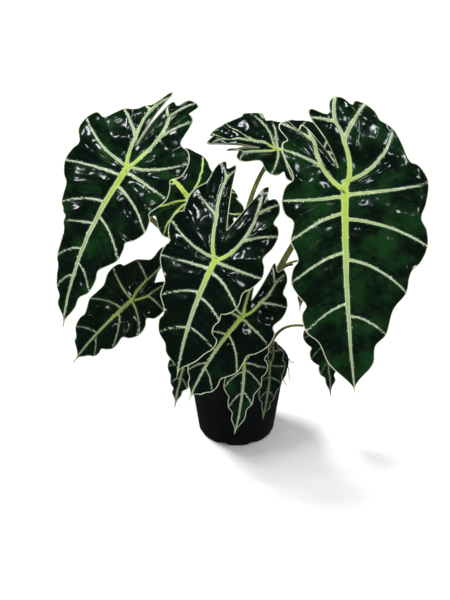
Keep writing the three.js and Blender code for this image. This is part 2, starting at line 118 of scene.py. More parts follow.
def blendColours(tree, share, first, second):
    node = addNode(tree, "ShaderNodeMix", data_type="RGBA")
    tree.links.new(share, node.inputs[0])
    for socket, value in ((node.inputs[6], first), (node.inputs[7], second)):
        if isinstance(value, tuple):
            socket.default_value = (*value, 1.0)
        else:
            tree.links.new(value, socket)
    return node.outputs[2]


def attribute(tree, name):
    return addNode(tree, "ShaderNodeAttribute", attribute_name=name).outputs["Fac"]


def grainNoise(tree, scale, detail=2.0, roughness=0.5, stretch=(1, 1, 1), seed=0.0):
    place = addNode(tree, "ShaderNodeTexCoord").outputs["Object"]
    mapping = addNode(tree, "ShaderNodeMapping")
    mapping.inputs["Scale"].default_value = stretch
    mapping.inputs["Location"].default_value = (seed, seed * 0.7, seed * 1.3)
    tree.links.new(place, mapping.inputs[0])
    noise = addNode(tree, "ShaderNodeTexNoise")
    noise.inputs["Scale"].default_value = scale
    noise.inputs["Detail"].default_value = detail
    noise.inputs["Roughness"].default_value = roughness
    tree.links.new(mapping.outputs[0], noise.inputs["Vector"])
    return noise.outputs[0]


def bumpFrom(tree, height, strength, distance, under=None):
    node = addNode(tree, "ShaderNodeBump")
    node.inputs["Strength"].default_value = strength
    node.inputs["Distance"].default_value = distance
    tree.links.new(height, node.inputs["Height"])
    if under is not None:
        tree.links.new(under, node.inputs["Normal"])
    return node.outputs[0]


def finishWith(tree, shader, colour, roughness, normal):
    for value, socket in ((colour, "Base Color"), (roughness, "Roughness"), (normal, "Normal")):
        tree.links.new(value, shader.inputs[socket])


# A shared group: soft mottling of two sizes, for any finish that varies over its surface.
def makeMottleGroup():
    group = bpy.data.node_groups.new("mottle", "ShaderNodeTree")
    group.interface.new_socket("coarseScale", in_out="INPUT", socket_type="NodeSocketFloat")
    group.interface.new_socket("fineScale", in_out="INPUT", socket_type="NodeSocketFloat")
    group.interface.new_socket("coarse", in_out="OUTPUT", socket_type="NodeSocketFloat")
    group.interface.new_socket("fine", in_out="OUTPUT", socket_type="NodeSocketFloat")
    entry = group.nodes.new("NodeGroupInput")
    leave = group.nodes.new("NodeGroupOutput")
    place = group.nodes.new("ShaderNodeTexCoord").outputs["Object"]
    for index, detail in ((0, 3.0), (1, 5.0)):
        noise = group.nodes.new("ShaderNodeTexNoise")
        noise.inputs["Detail"].default_value = detail
        noise.inputs["Roughness"].default_value = 0.6
        group.links.new(place, noise.inputs["Vector"])
        group.links.new(entry.outputs[index], noise.inputs["Scale"])
        group.links.new(noise.outputs[0], leave.inputs[index])
    return group


mottleGroup = makeMottleGroup()


def mottle(tree, coarseScale, fineScale):
    node = addNode(tree, "ShaderNodeGroup")
    node.node_tree = mottleGroup
    node.inputs["coarseScale"].default_value = coarseScale
    node.inputs["fineScale"].default_value = fineScale
    return node.outputs["coarse"], node.outputs["fine"]


leafFinish = {
    "dark": (0.0012, 0.0052, 0.0026),
    "green": (0.005, 0.034, 0.006),
    "veinPale": (0.60, 0.68, 0.48),
    "veinCore": (0.28, 0.40, 0.15),
    "veinFresh": (0.40, 0.56, 0.035),
    "edgePale": (0.50, 0.55, 0.36),
    "halo": (0.07, 0.12, 0.07),
    "minorVein": (0.16, 0.23, 0.12),
    "streak": (0.13, 0.2, 0.06),
    "gloss": 0.13,
    "underDark": (0.055, 0.026, 0.028),
    "underPale": (0.12, 0.075, 0.065),
    "underVein": (0.21, 0.22, 0.10),
    "underEdge": (0.26, 0.27, 0.17),
}


def dimmed(colour, share):
    return tuple(channel * share for channel in leafFinish[colour])


def makeLeafTop(name, green=0.0, fresh=0.4, veinDim=1.0):
    material, tree, shader = newMaterial(name)
    vein = attribute(tree, "vein")
    core = attribute(tree, "core")
    tone = attribute(tree, "tone")
    rim = attribute(tree, "rim")
    minor = attribute(tree, "minor")
    coarse, fine = mottle(tree, 38, 1150)
    # feathery vein edges: fine noise and short ticks push the vein's outline about
    ticks = remap(tree, grainNoise(tree, 620, 1.0, 0.5, seed=3.0), 0.60, 0.72, 0.0, -1.3)
    feather = remap(tree, fine, 0.3, 0.7, -0.35, 0.35, smooth=False)
    outline = sumOf(tree, sumOf(tree, vein, feather), ticks)
    veinMask = remap(tree, outline, 0.22, -0.22)
    halo = remap(tree, sumOf(tree, vein, feather), 2.2, 0.0, 0.0, 0.22)
    minorMask = remap(tree, sumOf(tree, minor, feather), 0.45, 0.0, 0.0, 0.06)
    rimMask = remap(tree, sumOf(tree, rim, remap(tree, fine, 0.3, 0.7, -0.15, 0.15)), 1.0, 0.7)
    patch = remap(tree, sumOf(tree, coarse, green), 0.46, 0.78)
    blade = blendColours(tree, patch, leafFinish["dark"], leafFinish["green"])
    silver = blendColours(tree, halo, blade, leafFinish["halo"])
    lined = blendColours(tree, minorMask, silver, leafFinish["minorVein"])
    # veins: fresh yellow green at the hub, silvery toward the edge, greener along their middle
    freshColour = dimmed("veinFresh", veinDim)
    youth = remap(tree, tone, 0.0, fresh, 1.0, 0.0)
    edgeYouth = remap(tree, youth, 0.0, 1.0, 0.0, 0.6)
    edgeTone = blendColours(tree, edgeYouth, dimmed("veinPale", veinDim), freshColour)
    coreTone = blendColours(tree, youth, dimmed("veinCore", veinDim), freshColour)
    inMiddle = remap(tree, core, 0.8, 0.45, 0.0, 1.0)
    veinColour = blendColours(tree, inMiddle, edgeTone, coreTone)
    streaks = remap(tree, fine, 0.45, 0.7, 0.0, 0.2)
    streaky = blendColours(tree, streaks, veinColour, leafFinish["streak"])
    veined = blendColours(tree, veinMask, lined, streaky)
    finished = blendColours(tree, rimMask, veined, dimmed("edgePale", veinDim))
    veinDull = remap(tree, veinMask, 0.0, 1.0, 0.0, 0.3)
    dull = sumOf(tree, veinDull, remap(tree, coarse, 0.3, 0.7, 0.0, 0.06))
    puckers = grainNoise(tree, 62, 0.6, 0.5, seed=1.0)
    wrinkles = grainNoise(tree, 150, 0.5, 0.5, seed=6.0)
    skin = bumpFrom(tree, wrinkles, 0.12, 0.0025)
    puckered = bumpFrom(tree, puckers, 0.6, 0.007, under=skin)
    ridge = bumpFrom(tree, remap(tree, outline, 0.7, -0.7), 0.45, 0.0006, under=puckered)
    finishWith(tree, shader, finished, sumOf(tree, dull, leafFinish["gloss"]), ridge)
    return material


def makeLeafUnder(name):
    material, tree, shader = newMaterial(name)
    vein = attribute(tree, "vein")
    rim = attribute(tree, "rim")
    coarse, fine = mottle(tree, 45, 500)
    feather = remap(tree, fine, 0.3, 0.7, -0.5, 0.5, smooth=False)
    veinMask = remap(tree, sumOf(tree, vein, feather), 0.5, -0.5)
    patch = remap(tree, coarse, 0.35, 0.7)
    blade = blendColours(tree, patch, leafFinish["underDark"], leafFinish["underPale"])
    veined = blendColours(tree, veinMask, blade, leafFinish["underVein"])
    finished = blendColours(tree, remap(tree, rim, 1.1, 0.7), veined, leafFinish["underEdge"])
    puckered = bumpFrom(tree, grainNoise(tree, 95, 2.0, 0.55, seed=1.0), 0.5, 0.003)
    finishWith(tree, shader, finished, remap(tree, coarse, 0.3, 0.7, 0.38, 0.52), puckered)
    return material


# turn, out and rise place the hub, toTip runs from it to the tip and face is the way the
# upper side looks, as in the frame. left and right list where side veins reach the edge:
# x out, y up the leaf and, for those that come from the midrib, the height at which they
# leave it. forks are where each lobe's main vein splits. even blades share one pattern.
evenSmall = [(0.24, 0.4), (0.8, 0.24), (1, -0.06), (0.84, -0.4), (0.46, -0.7)]

bladeSettings = {
    "Left": {
        "node": "left", "turn": -163, "out": 59, "rise": 253,
        "toTip": (-70, -45, -153), "face": (-0.15, -0.85, 0.5), "notch": (-3.3, 26),
        "lean": 18, "sweep": -8, "bow": 9, "back": 14, "fold": 0.18, "drop": 14, "ruffle": 3,
        "left": [(-11, 84), (-24, 65), (-39, 53), (-67, 28, 2), (-62, -20, -9), (-42, -60, -40),
                 (-31, -78, -66), (-24, -114, -94), (-15, -145, -124)],
        "right": [(-6.5, 75), (13, 88), (27, 70), (53, 30, 2), (53, -12, -4), (52, -52, -20),
                  (39, -90, -56), (21, -135, -110)],
        "forks": (((-8.5, 31), (-14, 62)), ((12.5, 41), (4.6, 64))), "veinWidth": 3.1,
        "look": {"green": 0.02, "fresh": 0.5},
    },
    "Right": {
        "node": "right", "turn": -37, "out": 72, "rise": 249,
        "toTip": (18, -32, -214), "face": (0.1, -0.85, 0.5), "notch": (-2.5, 22),
        "lean": -35, "sweep": -5, "bow": 10, "back": 14, "fold": 0.18, "drop": 14, "ruffle": 3,
        "left": [(-13, 62), (-34, 70), (-49, 46), (-64, -3, -6), (-56, -44, -22), (-57, -88, -62),
                 (-45, -143, -117)],
        "right": [(-3, 72), (36, 88), (58, 79), (68, 53, 8), (87, -4, -5), (86, -68, -29),
                  (62, -114, -70), (38, -159, -131)],
        "forks": (((-18, 25), (-14.5, 50)), ((13.7, 46), (17, 66))), "veinWidth": 3.9,
        "look": {"green": 0.08, "fresh": 0.75},
    },
    "Centre": {
        "node": "centre", "turn": -106, "out": 27, "rise": 172,
        "toTip": (-39, -28, -115), "face": (-0.05, -0.85, 0.5), "notch": (0.5, 32),
        "lean": 4, "sweep": -4, "bow": 7, "back": 16, "fold": 0.15, "drop": 14, "ruffle": 3,
        "left": [(-16, 91), (-33, 92), (-48, 57), (-58, 22, 2), (-54, -15, -9), (-38, -53, -35),
                 (-28, -92, -75)],
        "right": [(18, 82), (40, 72), (52, 42), (52, -3, -1), (41, -40, -12), (29, -58, -40),
                  (31, -89, -74)],
        "forks": (((-14, 41), (-20.6, 79)), ((19.4, 27), (23, 56))), "veinWidth": 3.0,
        "look": {"green": -0.08, "fresh": 0.45},
    },
    "Front": {
        "node": "front", "turn": -85, "out": 6, "rise": 96,
        "toTip": (-56, -22, -86), "face": (-0.05, -0.85, 0.5), "notch": (-1, 18),
        "lean": -10, "sweep": -4, "bow": 6, "back": 8, "fold": 0.15, "drop": 8, "ruffle": 2.5,
        "left": [(-12, 60), (-30, 50), (-44, 20, 0), (-42, -12, -3), (-31, -46, -26),
                 (-15, -84, -64)],
        "right": [(5, 60), (23, 60), (37, 32), (42, -12, -3), (32, -55, -25), (19, -89, -70)],
        "forks": (((-8, 30),), ((8.4, 20.7), (14.6, 45))), "veinWidth": 2.3,
        "look": {"green": -0.03, "fresh": 0.75},
    },
    "LowLeft": {
        "node": "low-left", "turn": -165, "out": 59, "rise": 96,
        "toTip": (-60, -28, -55), "face": (-0.2, -0.8, 0.6), "notch": (0.5, 30),
        "bow": 7, "back": 10, "fold": 0.15, "drop": 9, "ruffle": 2.5,
        "left": [(-15, 66), (-34, 34), (-45, 10, 0), (-35, -32, -14), (-24, -65, -52)],
        "right": [(14, 49), (32, 16), (34, -21, -1), (24, -52, -20), (14, -73, -56)],
        "forks": (((-6.5, 26),), ((7.7, 15),)), "veinWidth": 1.9,
        "look": {"green": -0.1, "fresh": 1.0, "veinDim": 0.6},
    },
    "BackLeft": {
        "node": "back-left", "turn": 164, "out": -7, "rise": 195,
        "toTip": (-70, 105, 25), "face": (0, -0.35, 0.93), "notch": (0, 28),
        "bow": 7, "back": 6, "fold": 0.2, "drop": 9, "ruffle": 3.5,
        "left": [(-14, 57), (-42, 42), (-50, 15, 0), (-49, -51, -5), (-35, -84, -50),
                 (-17, -112, -84)],
        "right": [(14, 57), (36, 45), (50, 24, 2), (55, -14, -2), (49, -52, -28), (34, -84, -58),
                  (16, -112, -92)],
        "forks": (((-8, 24),), ((8, 24),)), "veinWidth": 3.0,
        "look": {"green": 0.06, "fresh": 2.2, "veinDim": 1.25},
    },
    "Top": {
        "node": "top", "turn": 39, "out": -4, "rise": 245,
        "toTip": (130, 25, -30), "face": (0, -0.4, 0.92), "notch": (2.6, 20),
        "bow": 6, "back": 4, "fold": 0.2, "drop": 8, "ruffle": 3,
        "left": [(5, 51), (-14, 42), (-37, 11, 0), (-47, -12, -4), (-44, -48, -24), (-33, -84, -56),
                 (-17, -117, -94)],
        "right": [(12, 71), (27, 69), (41, 53), (57, 25, 2), (45, 2, 0), (47, -38, -18),
                  (36, -78, -50), (19, -115, -92)],
        "forks": (((-4, 36),), ((11, 22), (15, 52))), "veinWidth": 2.5,
        "look": {"green": -0.02, "fresh": 0.45, "veinDim": 0.8},
    },
    "SmallFront": {
        "node": "small-front", "turn": -84, "out": 12, "rise": 43,
        "toTip": (-9, -8, -84), "face": (0, -0.9, 0.3), "notch": (0, 14),
        "sweep": 2, "bow": 3, "back": 4, "fold": 0.15, "drop": 4, "ruffle": 1,
        "left": [(-7, 30), (-20, 22), (-27, -2, -2), (-21, -34, -12), (-13, -58, -38)],
        "right": [(9, 30), (24, 18), (26, -6, -2), (20, -28, -10), (12, -52, -37)],
        "forks": (((-5, 14),), ((6, 14),)), "veinWidth": 1.6,
        "look": {"green": 0.02, "fresh": 0.35, "veinDim": 0.8},
    },
    "SmallRight": {
        "node": "small-right", "turn": -60, "out": 12, "rise": 33,
        "toTip": (-6, -12, -57), "face": (0.3, -0.9, 0.3), "notch": (0, 12),
        "bow": 3, "back": 3, "fold": 0.15, "drop": 4, "ruffle": 1,
        "even": evenSmall, "halfWidth": 19, "veinWidth": 1.0,
        "look": {"green": -0.03, "fresh": 0.9, "veinDim": 0.32},
    },
    "SmallLeft": {
        "node": "small-left", "turn": -133, "out": 19, "rise": 46,
        "toTip": (-14, -18, -52), "face": (-0.3, -0.85, 0.4), "notch": (0, 12),
        "bow": 3, "back": 3, "fold": 0.15, "drop": 4, "ruffle": 1,
        "even": evenSmall, "halfWidth": 22, "veinWidth": 1.3,
        "look": {"green": 0.0, "fresh": 0.9, "veinDim": 0.55},
    },
    "FarRight": {
        "node": "far-right", "turn": -3, "out": 36, "rise": 44,
        "toTip": (13, -7, -78), "face": (0.3, -0.85, 0.4), "notch": (0, 13),
        "bow": 4, "back": 4, "fold": 0.15, "drop": 4, "ruffle": 1.5,
        "even": evenSmall, "halfWidth": 23, "veinWidth": 1.1,
        "look": {"green": -0.02, "fresh": 0.8, "veinDim": 0.4},
    },
    "Young": {
        "node": "young", "turn": 0, "out": 22, "rise": 127,
        "toTip": (-12, -8, -50), "face": (-0.5, -0.8, 0.2), "notch": (0, 10),
        "bow": 4, "back": 3, "fold": 0.4, "drop": 1, "ruffle": 0.8,
        "even": evenSmall, "halfWidth": 15, "veinWidth": 1.0,
        "look": {"green": 0.12, "fresh": 1.2, "veinDim": 0.7},
    },
}

bladeMake = {
    "thickness": 0.9,      # mm, as are the other lengths
    "quilt": 2.6,          # how far the blade swells between veins
    "quiltWidth": 8.0,     # how soon it swells beside a vein
    "drip": 9.0,           # length of the drip tip
    "scallop": 0.14,       # depth of the dips in the edge, as a share of their width
    "rounding": 0.33,      # reach of the round end of each bump
    "largeLength": 217,    # the blade that gets the finest mesh
    "potHeight": 91.0,
    "rimRadius": 60.0,
}


def unit(vector):
    return vector / np.linalg.norm(vector)


def layOutBlade(blade):
    turn = math.radians(blade["turn"])
    reach = bladeMake["rimRadius"] + blade["out"]
    blade["hub"] = np.array([math.cos(turn) * reach, math.sin(turn) * reach,
                             bladeMake["potHeight"] + blade["rise"]])
    toTip = np.array(blade["toTip"], float)
    blade["length"] = float(np.linalg.norm(toTip))
    blade["upLeaf"] = -unit(toTip)
    face = np.array(blade["face"], float)
    blade["normal"] = unit(face - face.dot(blade["upLeaf"]) * blade["upLeaf"])
    blade["across"] = np.cross(blade["upLeaf"], blade["normal"])
    if "even" in blade:
        length, width = blade["length"], blade["halfWidth"]
        for side, sign in (("left", -1), ("right", 1)):
            ends = []
            for x, y in blade["even"]:
                start = y * length * (0.45 + 0.42 * min(-y, 1)) if y < 0 else 0.0
                ends.append((sign * x * width, y * length, start))
            blade[side] = ends
        blade["forks"] = (((-0.2 * width, 0.24 * length),), ((0.2 * width, 0.24 * length),))
    both = blade["left"] + blade["right"]
    blade["reachOut"] = max(abs(end[0]) for end in both)
    blade["lobeTop"] = max(end[1] for end in both)
    blade["edges"] = [edgeCurve(blade, blade["left"]), edgeCurve(blade, blade["right"])]


# Centripetal curve through points, sampled at marks that count along the points.
def smoothThrough(points, marks):
    points = np.asarray(points, float)
    padded = np.vstack([2 * points[0] - points[1], points, 2 * points[-1] - points[-2]])
    marks = np.clip(np.asarray(marks, float), 0, len(points) - 1 - 1e-9)
    index = marks.astype(int)
    u = (marks - index)[:, None]
    p0, p1, p2, p3 = (padded[index + k] for k in range(4))
    d0 = np.maximum(np.linalg.norm(p1 - p0, axis=1) ** 0.5, 1e-4)[:, None]
    d1 = np.maximum(np.linalg.norm(p2 - p1, axis=1) ** 0.5, 1e-4)[:, None]
    d2 = np.maximum(np.linalg.norm(p3 - p2, axis=1) ** 0.5, 1e-4)[:, None]
    m1 = ((p1 - p0) / d0 - (p2 - p0) / (d0 + d1) + (p2 - p1) / d1) * d1
    m2 = ((p2 - p1) / d1 - (p3 - p1) / (d1 + d2) + (p3 - p2) / d2) * d1
    return ((2 * u**3 - 3 * u**2 + 1) * p1 + (u**3 - 2 * u**2 + u) * m1
            + (-2 * u**3 + 3 * u**2) * p2 + (u**3 - u**2) * m2)


# One side of the edge, from the notch round the lobe to the drip tip. The third value
# counts veins: whole at a vein's end and half way between two.
def edgeCurve(blade, ends):
    notch = np.array(blade["notch"], float)
    spots = [np.array(end[:2], float) for end in ends]
    tip = np.array([0, -blade["length"]])
    points = []

    def mark(spot, count):
        points.append((spot[0], spot[1], count))

    def inwardAt(spot):
        return unit(np.array([0, min(spot[1], 0) * 0.7]) - spot)

    mark(notch, -1)
    for i, spot in enumerate(spots):
        before = spots[i - 1] if i else notch
        after = spots[i + 1] if i + 1 < len(spots) else tip
        heading = unit(after - before)
        nearest = min(np.linalg.norm(spot - before), np.linalg.norm(after - spot))
        reach = bladeMake["rounding"] * nearest
        sunk = spot + inwardAt(spot) * 0.3 * reach
        flank = sunk + reach * (-heading if i else unit(notch - spot))
        if i == 0:
            mark((notch + flank) / 2, -0.5)
        mark(flank, i - 0.18)
        mark(spot, i)
        mark(sunk + heading * reach, i + 0.18)
        if i + 1 == len(spots):
            break
        middle = (spot + after) / 2
        dip = np.linalg.norm(after - spot) * bladeMake["scallop"]
        mark(middle + inwardAt(middle) * dip, i + 0.5)
    count = len(spots)
    last = spots[-1]
    side = math.copysign(1, last[0])
    outward = 0.04 * np.linalg.norm(last - tip)
    mark((last + tip) / 2 + np.array([side * outward, 0]), count - 0.5)
    mark(tip + np.array([side * 1.6, 0]), count)
    mark(tip - np.array([0, bladeMake["drip"]]), count)
    return np.array(points, float)


# Points at even steps along an edge.
def evenSpots(points, count):
    fine = smoothThrough(points, np.linspace(0, len(points) - 1, 1200))
    travel = np.concatenate([[0], np.cumsum(np.hypot(*np.diff(fine[:, :2], axis=0).T))])
    marks = np.linspace(0, travel[-1], count + 1)
    return np.stack([np.interp(marks, travel, fine[:, k]) for k in range(3)], axis=1)


def arc(start, control, end, steps=10):
    t = np.linspace(0, 1, steps + 1)[:, None]
    start, control, end = (np.array(p[:2], float) for p in (start, control, end))
    return (1 - t) ** 2 * start + 2 * t * (1 - t) * control + t**2 * end


# Every vein of a blade as (points, half width at the start, at the end, tone at start, at end).
def bladeVeins(blade):
    length = blade["length"]
    wide = blade["veinWidth"]
    drip = np.array([(0, y) for y in np.linspace(wide * 0.6, -length - bladeMake["drip"], 40)])
    main = [(drip, wide, 0.45, 0.0, 1.0)]
    minor = []
    for side in range(2):
        sign = 1 if side else -1
        ends = blade["left"] if side == 0 else blade["right"]
        forks = blade["forks"][side]
        first = np.array(forks[0], float)
        turnIn = np.array([first[0] * 0.75, first[1] * 0.35])
        main.append((arc((0, 0), turnIn, first), wide * 0.62, wide * 0.5, 0.0, 0.4))
        if len(forks) > 1:
            second = np.array(forks[1], float)
            bulge = 0.12 * (second[1] - first[1]) * sign
            middle = (first + second) / 2 + np.array([bulge, 0])
            main.append((arc(first, middle, second), wide * 0.5, wide * 0.4, 0.4, 0.6))
            lobeEnds = ((ends[0], second), (ends[1], second), (ends[2], first))
            fromMidrib = ends[3:]
        else:
            lobeEnds = ((ends[0], first), (ends[1], first))
            fromMidrib = ends[2:]
        for end, start in lobeEnds:
            tip = np.array(end[:2], float) * 0.985
            run = tip - start
            outward = 1 if abs(tip[0]) > abs(start[0]) else -1
            bendPoint = start + run * 0.5 + np.array([-run[1], run[0]]) * 0.1 * sign * outward
            main.append((arc(start, bendPoint, tip), wide * 0.42, wide * 0.22, 0.5, 1.0))
        curves = []
        for end in fromMidrib:
            tip = np.array(end[:2], float) * 0.985
            start = np.array([0.0, end[2]])
            control = np.array([tip[0] * 0.52, start[1] + 0.12 * (tip[1] - start[1])])
            share = min(1, -start[1] / length)
            taper = 0.5 + 0.5 * (1 - share)
            curves.append((start, control, tip))
            main.append((arc(start, control, tip, 14), wide * 0.46 * taper, wide * 0.2 * taper,
                         0.3 + 0.6 * share, 0.75 + 0.25 * share))
        # fainter veins between the side veins, and on to the tip
        curves.append((np.array([0, -length * 0.93]), np.array([3.0 * sign, -length * 0.94]),
                       np.array([5.0 * sign, -length * 0.96])))
        for a, b in zip(curves, curves[1:]):
            gap = abs(a[0][1] - b[0][1]) + abs(a[2][1] - b[2][1])
            count = max(1, int(gap / 17))
            for k in range(1, count + 1):
                s = k / (count + 1)
                minor.append(arc(*(a[j] * (1 - s) + b[j] * s for j in range(3)), 8))
    return main, minor


def segmentsOf(veins):
    starts, stops, wide, tone = [], [], [], []
    for points, wideA, wideB, toneA, toneB in veins:
        share = np.linspace(0, 1, len(points))
        widths = wideA + (wideB - wideA) * share
        tones = toneA + (toneB - toneA) * share
        for k in range(len(points) - 1):
            starts.append(points[k])
            stops.append(points[k + 1])
            wide.append((widths[k], widths[k + 1]))
            tone.append((tones[k], tones[k + 1]))
    return (np.array(v, float) for v in (starts, stops, wide, tone))


# Distance of each spot from the nearest vein's edge, that vein's half width there and its tone.
def veinDistance(spots, veins):
    starts, stops, wide, tone = segmentsOf(veins)
    run = stops - starts
    square = np.maximum((run**2).sum(1), 1e-9)
    nearest = np.empty(len(spots))
    width = np.empty(len(spots))
    shade = np.empty(len(spots))
    for low in range(0, len(spots), 6000):
        part = spots[low:low + 6000]
        offset = part[:, None] - starts[None]
        t = np.clip((offset * run).sum(2) / square, 0, 1)
        gap = np.linalg.norm(offset - t[..., None] * run, axis=2)
        half = wide[:, 0] + (wide[:, 1] - wide[:, 0]) * t
        edge = gap - half
        best = edge.argmin(1)
        rows = np.arange(len(part))
        nearest[low:low + 6000] = edge[rows, best]
        width[low:low + 6000] = half[rows, best]
        shade[low:low + 6000] = (tone[:, 0] + (tone[:, 1] - tone[:, 0]) * t)[rows, best]
    return nearest, width, shade


def bladeHeight(blade, x, y, share, count):
    t = np.clip(-y / blade["length"], 0, 1.2)
    hump = 4 * t * (1 - t)
    lobe = (np.maximum(y, 0) / blade["lobeTop"]) ** 2
    sideways = blade.get("sweep", 0) * hump + blade.get("lean", 0) * lobe
    along = np.where(y < 0, blade["bow"] * hump,
                     -4 * blade["bow"] / blade["length"] * y - blade["back"] * lobe)
    vee = blade["fold"] * (np.hypot(x, 6) - 6)
    roll = blade["drop"] * (x / blade["reachOut"]) ** 2
    wave = blade["ruffle"] * share**3 * np.cos(2 * np.pi * count)
    return sideways, along + vee - roll - wave


def makeBlade(name, blade, seed):
    layOutBlade(blade)
    size = blade["length"] / bladeMake["largeLength"]
    spokes = int(90 + 120 * min(1, size))
    rings = int(30 + 34 * min(1, size))
    ends = [evenSpots(edge, spokes) for edge in blade["edges"]]
    starts = []
    for i in range(spokes + 1):
        height = min(0.0, sum(side[i, 1] + 0.35 * abs(side[i, 0]) for side in ends) / 2)
        starts.append(min(height, starts[-1] if starts else 0.0))
    starts[spokes] = -blade["length"] - bladeMake["drip"]
    starts = np.array(starts)
    share = 1 - (1 - np.linspace(0, 1, rings + 1)) ** 1.12
    main, minor = bladeVeins(blade)
    grids = []
    for side in range(2):
        end = ends[side]
        x = end[:, 0:1] * share[None]
        y = starts[:, None] + (end[:, 1:2] - starts[:, None]) * share[None]
        reach = np.hypot(end[:, 0:1], end[:, 1:2] - starts[:, None])
        inset = (1 - share[None]) * reach
        count = np.repeat(end[:, 2:3], rings + 1, axis=1)
        grids.append([v.ravel() for v in (x, y, np.broadcast_to(share, x.shape), count, inset)])
    x, y, part, count, inset = (np.concatenate([grids[0][k], grids[1][k]]) for k in range(5))
    spots = np.stack([x, y], axis=1)
    vein, width, tone = veinDistance(spots, main)
    fineVein, _, _ = veinDistance(spots, [(points, 0.2, 0.12, 0, 1) for points in minor])
    # real distance to the outline, for the pale rim
    outline = []
    for edge in blade["edges"]:
        rimLine = smoothThrough(edge, np.linspace(0, len(edge) - 1, 140))
        outline.append((rimLine[:, :2], 0, 0, 0, 0))
    rimGap, _, _ = veinDistance(spots, outline)
    rng = np.random.default_rng(seed)
    sideways, height = bladeHeight(blade, x, y, part, count)
    gap = np.maximum(vein + width, 0)
    quilt = bladeMake["quilt"] * min(1, 0.45 + 0.6 * size)
    reachOfQuilt = bladeMake["quiltWidth"] * (0.5 + 0.5 * min(1, size))
    edgeFade = 1 - np.exp(-(rimGap / 5.0) ** 2)
    height += quilt * (1 - np.exp(-(np.maximum(vein, 0) / reachOfQuilt) ** 2)) * edgeFade
    # the finer veins lie in shallow grooves
    groove = 0.45 * min(1, size + 0.2)
    height -= groove * np.exp(-(np.maximum(fineVein, 0) / 1.6) ** 2) * edgeFade
    for _ in range(7):
        angle = rng.uniform(0, 2 * math.pi)
        wave = rng.uniform(14, 40)
        phase = rng.uniform(0, 2 * math.pi)
        height += rng.uniform(0.2, 0.5) * min(1, size + 0.3) * edgeFade * np.sin(
            2 * math.pi * (x * math.cos(angle) + y * math.sin(angle)) / wave + phase)
    ridge = np.exp(-(gap / np.maximum(width, 0.6)) ** 2)
    top = height + 0.5 * ridge * np.minimum(width, 2.0) / 2.0
    thick = bladeMake["thickness"] * (0.55 + 0.45 * np.minimum(1, rimGap / 2.5))
    under = height - thick - ridge * np.minimum(width * 0.75, 2.4)
    axes = np.stack([blade["across"], blade["upLeaf"], blade["normal"]])
    places = [np.stack([x + sideways, y, level], axis=1) @ axes + blade["hub"]
              for level in (top, under)]

    def corner(side, i, j):
        return side * (spokes + 1) * (rings + 1) + i * (rings + 1) + j

    i, j = np.meshgrid(np.arange(spokes), np.arange(rings), indexing="ij")
    i, j = i.ravel(), j.ravel()
    total = len(x)
    faces, finish = [], []
    for side in range(2):
        quads = np.stack([corner(side, i, j), corner(side, i, j + 1),
                          corner(side, i + 1, j + 1), corner(side, i + 1, j)], axis=1)
        if side == 0:
            quads = quads[:, ::-1]
        faces += [quads, quads[:, ::-1] + total]
        finish += [np.zeros(len(quads), int), np.ones(len(quads), int)]
        k = np.arange(spokes)
        wall = np.stack([corner(side, k, rings), corner(side, k, rings) + total,
                         corner(side, k + 1, rings) + total, corner(side, k + 1, rings)], axis=1)
        if side == 0:
            wall = wall[:, ::-1]
        faces.append(wall)
        finish.append(np.zeros(len(wall), int))
    faces = np.concatenate(faces)
    finish = np.concatenate(finish)
    mesh = bpy.data.meshes.new("blade" + name)
    verts = np.concatenate(places) * mm
    mesh.vertices.add(len(verts))
    mesh.vertices.foreach_set("co", verts.ravel())
    mesh.loops.add(faces.size)
    mesh.loops.foreach_set("vertex_index", faces.ravel())
    mesh.polygons.add(len(faces))
    mesh.polygons.foreach_set("loop_start", np.arange(0, faces.size, 4))
    mesh.polygons.foreach_set("material_index", finish)
    mesh.update(calc_edges=True)
    core = (vein + width) / np.maximum(width, 0.2)   # 0 along a vein's middle, 1 at its edge
    painted = {"vein": vein, "core": core, "tone": tone, "rim": rimGap, "minor": fineVein}
    for label, values in painted.items():
        layer = mesh.attributes.new(label, "FLOAT", "POINT")
        layer.data.foreach_set("value", np.concatenate([values, values]).astype(np.float32))
    # flat map of the blade: upper side in the left half, underside in the right
    flat = mesh.uv_layers.new(name="OFBake")
    tall = blade["length"] + bladeMake["drip"] + blade["lobeTop"]
    u = 0.25 + 0.235 * x / (blade["reachOut"] * 1.03)
    v = 0.02 + 0.95 * (y + blade["length"] + bladeMake["drip"]) / (tall * 1.02)
    loopSpots = faces.ravel()
    lower = loopSpots >= total
    base = loopSpots % total
    mapU = np.where(lower, u[base] + 0.5, u[base])
    flat.data.foreach_set("uv", np.stack([mapU, v[base]], axis=1).ravel().astype(np.float32))
    mesh.validate()
    piece = bpy.data.objects.new("blade" + name, mesh)
    scene.collection.objects.link(piece)
    mesh.materials.append(makeLeafTop("leafTop" + name, **blade["look"]))
    mesh.materials.append(leafUnder)
    pickOnly(piece)
    editAll()
    bpy.ops.mesh.remove_doubles(threshold=0.00002)
    bpy.ops.mesh.dissolve_degenerate(threshold=0.000001)
    faceOutward()
    bpy.ops.object.shade_smooth()
    standFor(piece, "leaf", "blade-" + blade["node"])
    return piece


leafUnder = makeLeafUnder("leafUnder")
for order, (bladeName, bladeData) in enumerate(bladeSettings.items()):
    made = makeBlade(bladeName, bladeData, 11 + order)
    print("blade", bladeName, len(made.data.polygons), "faces")


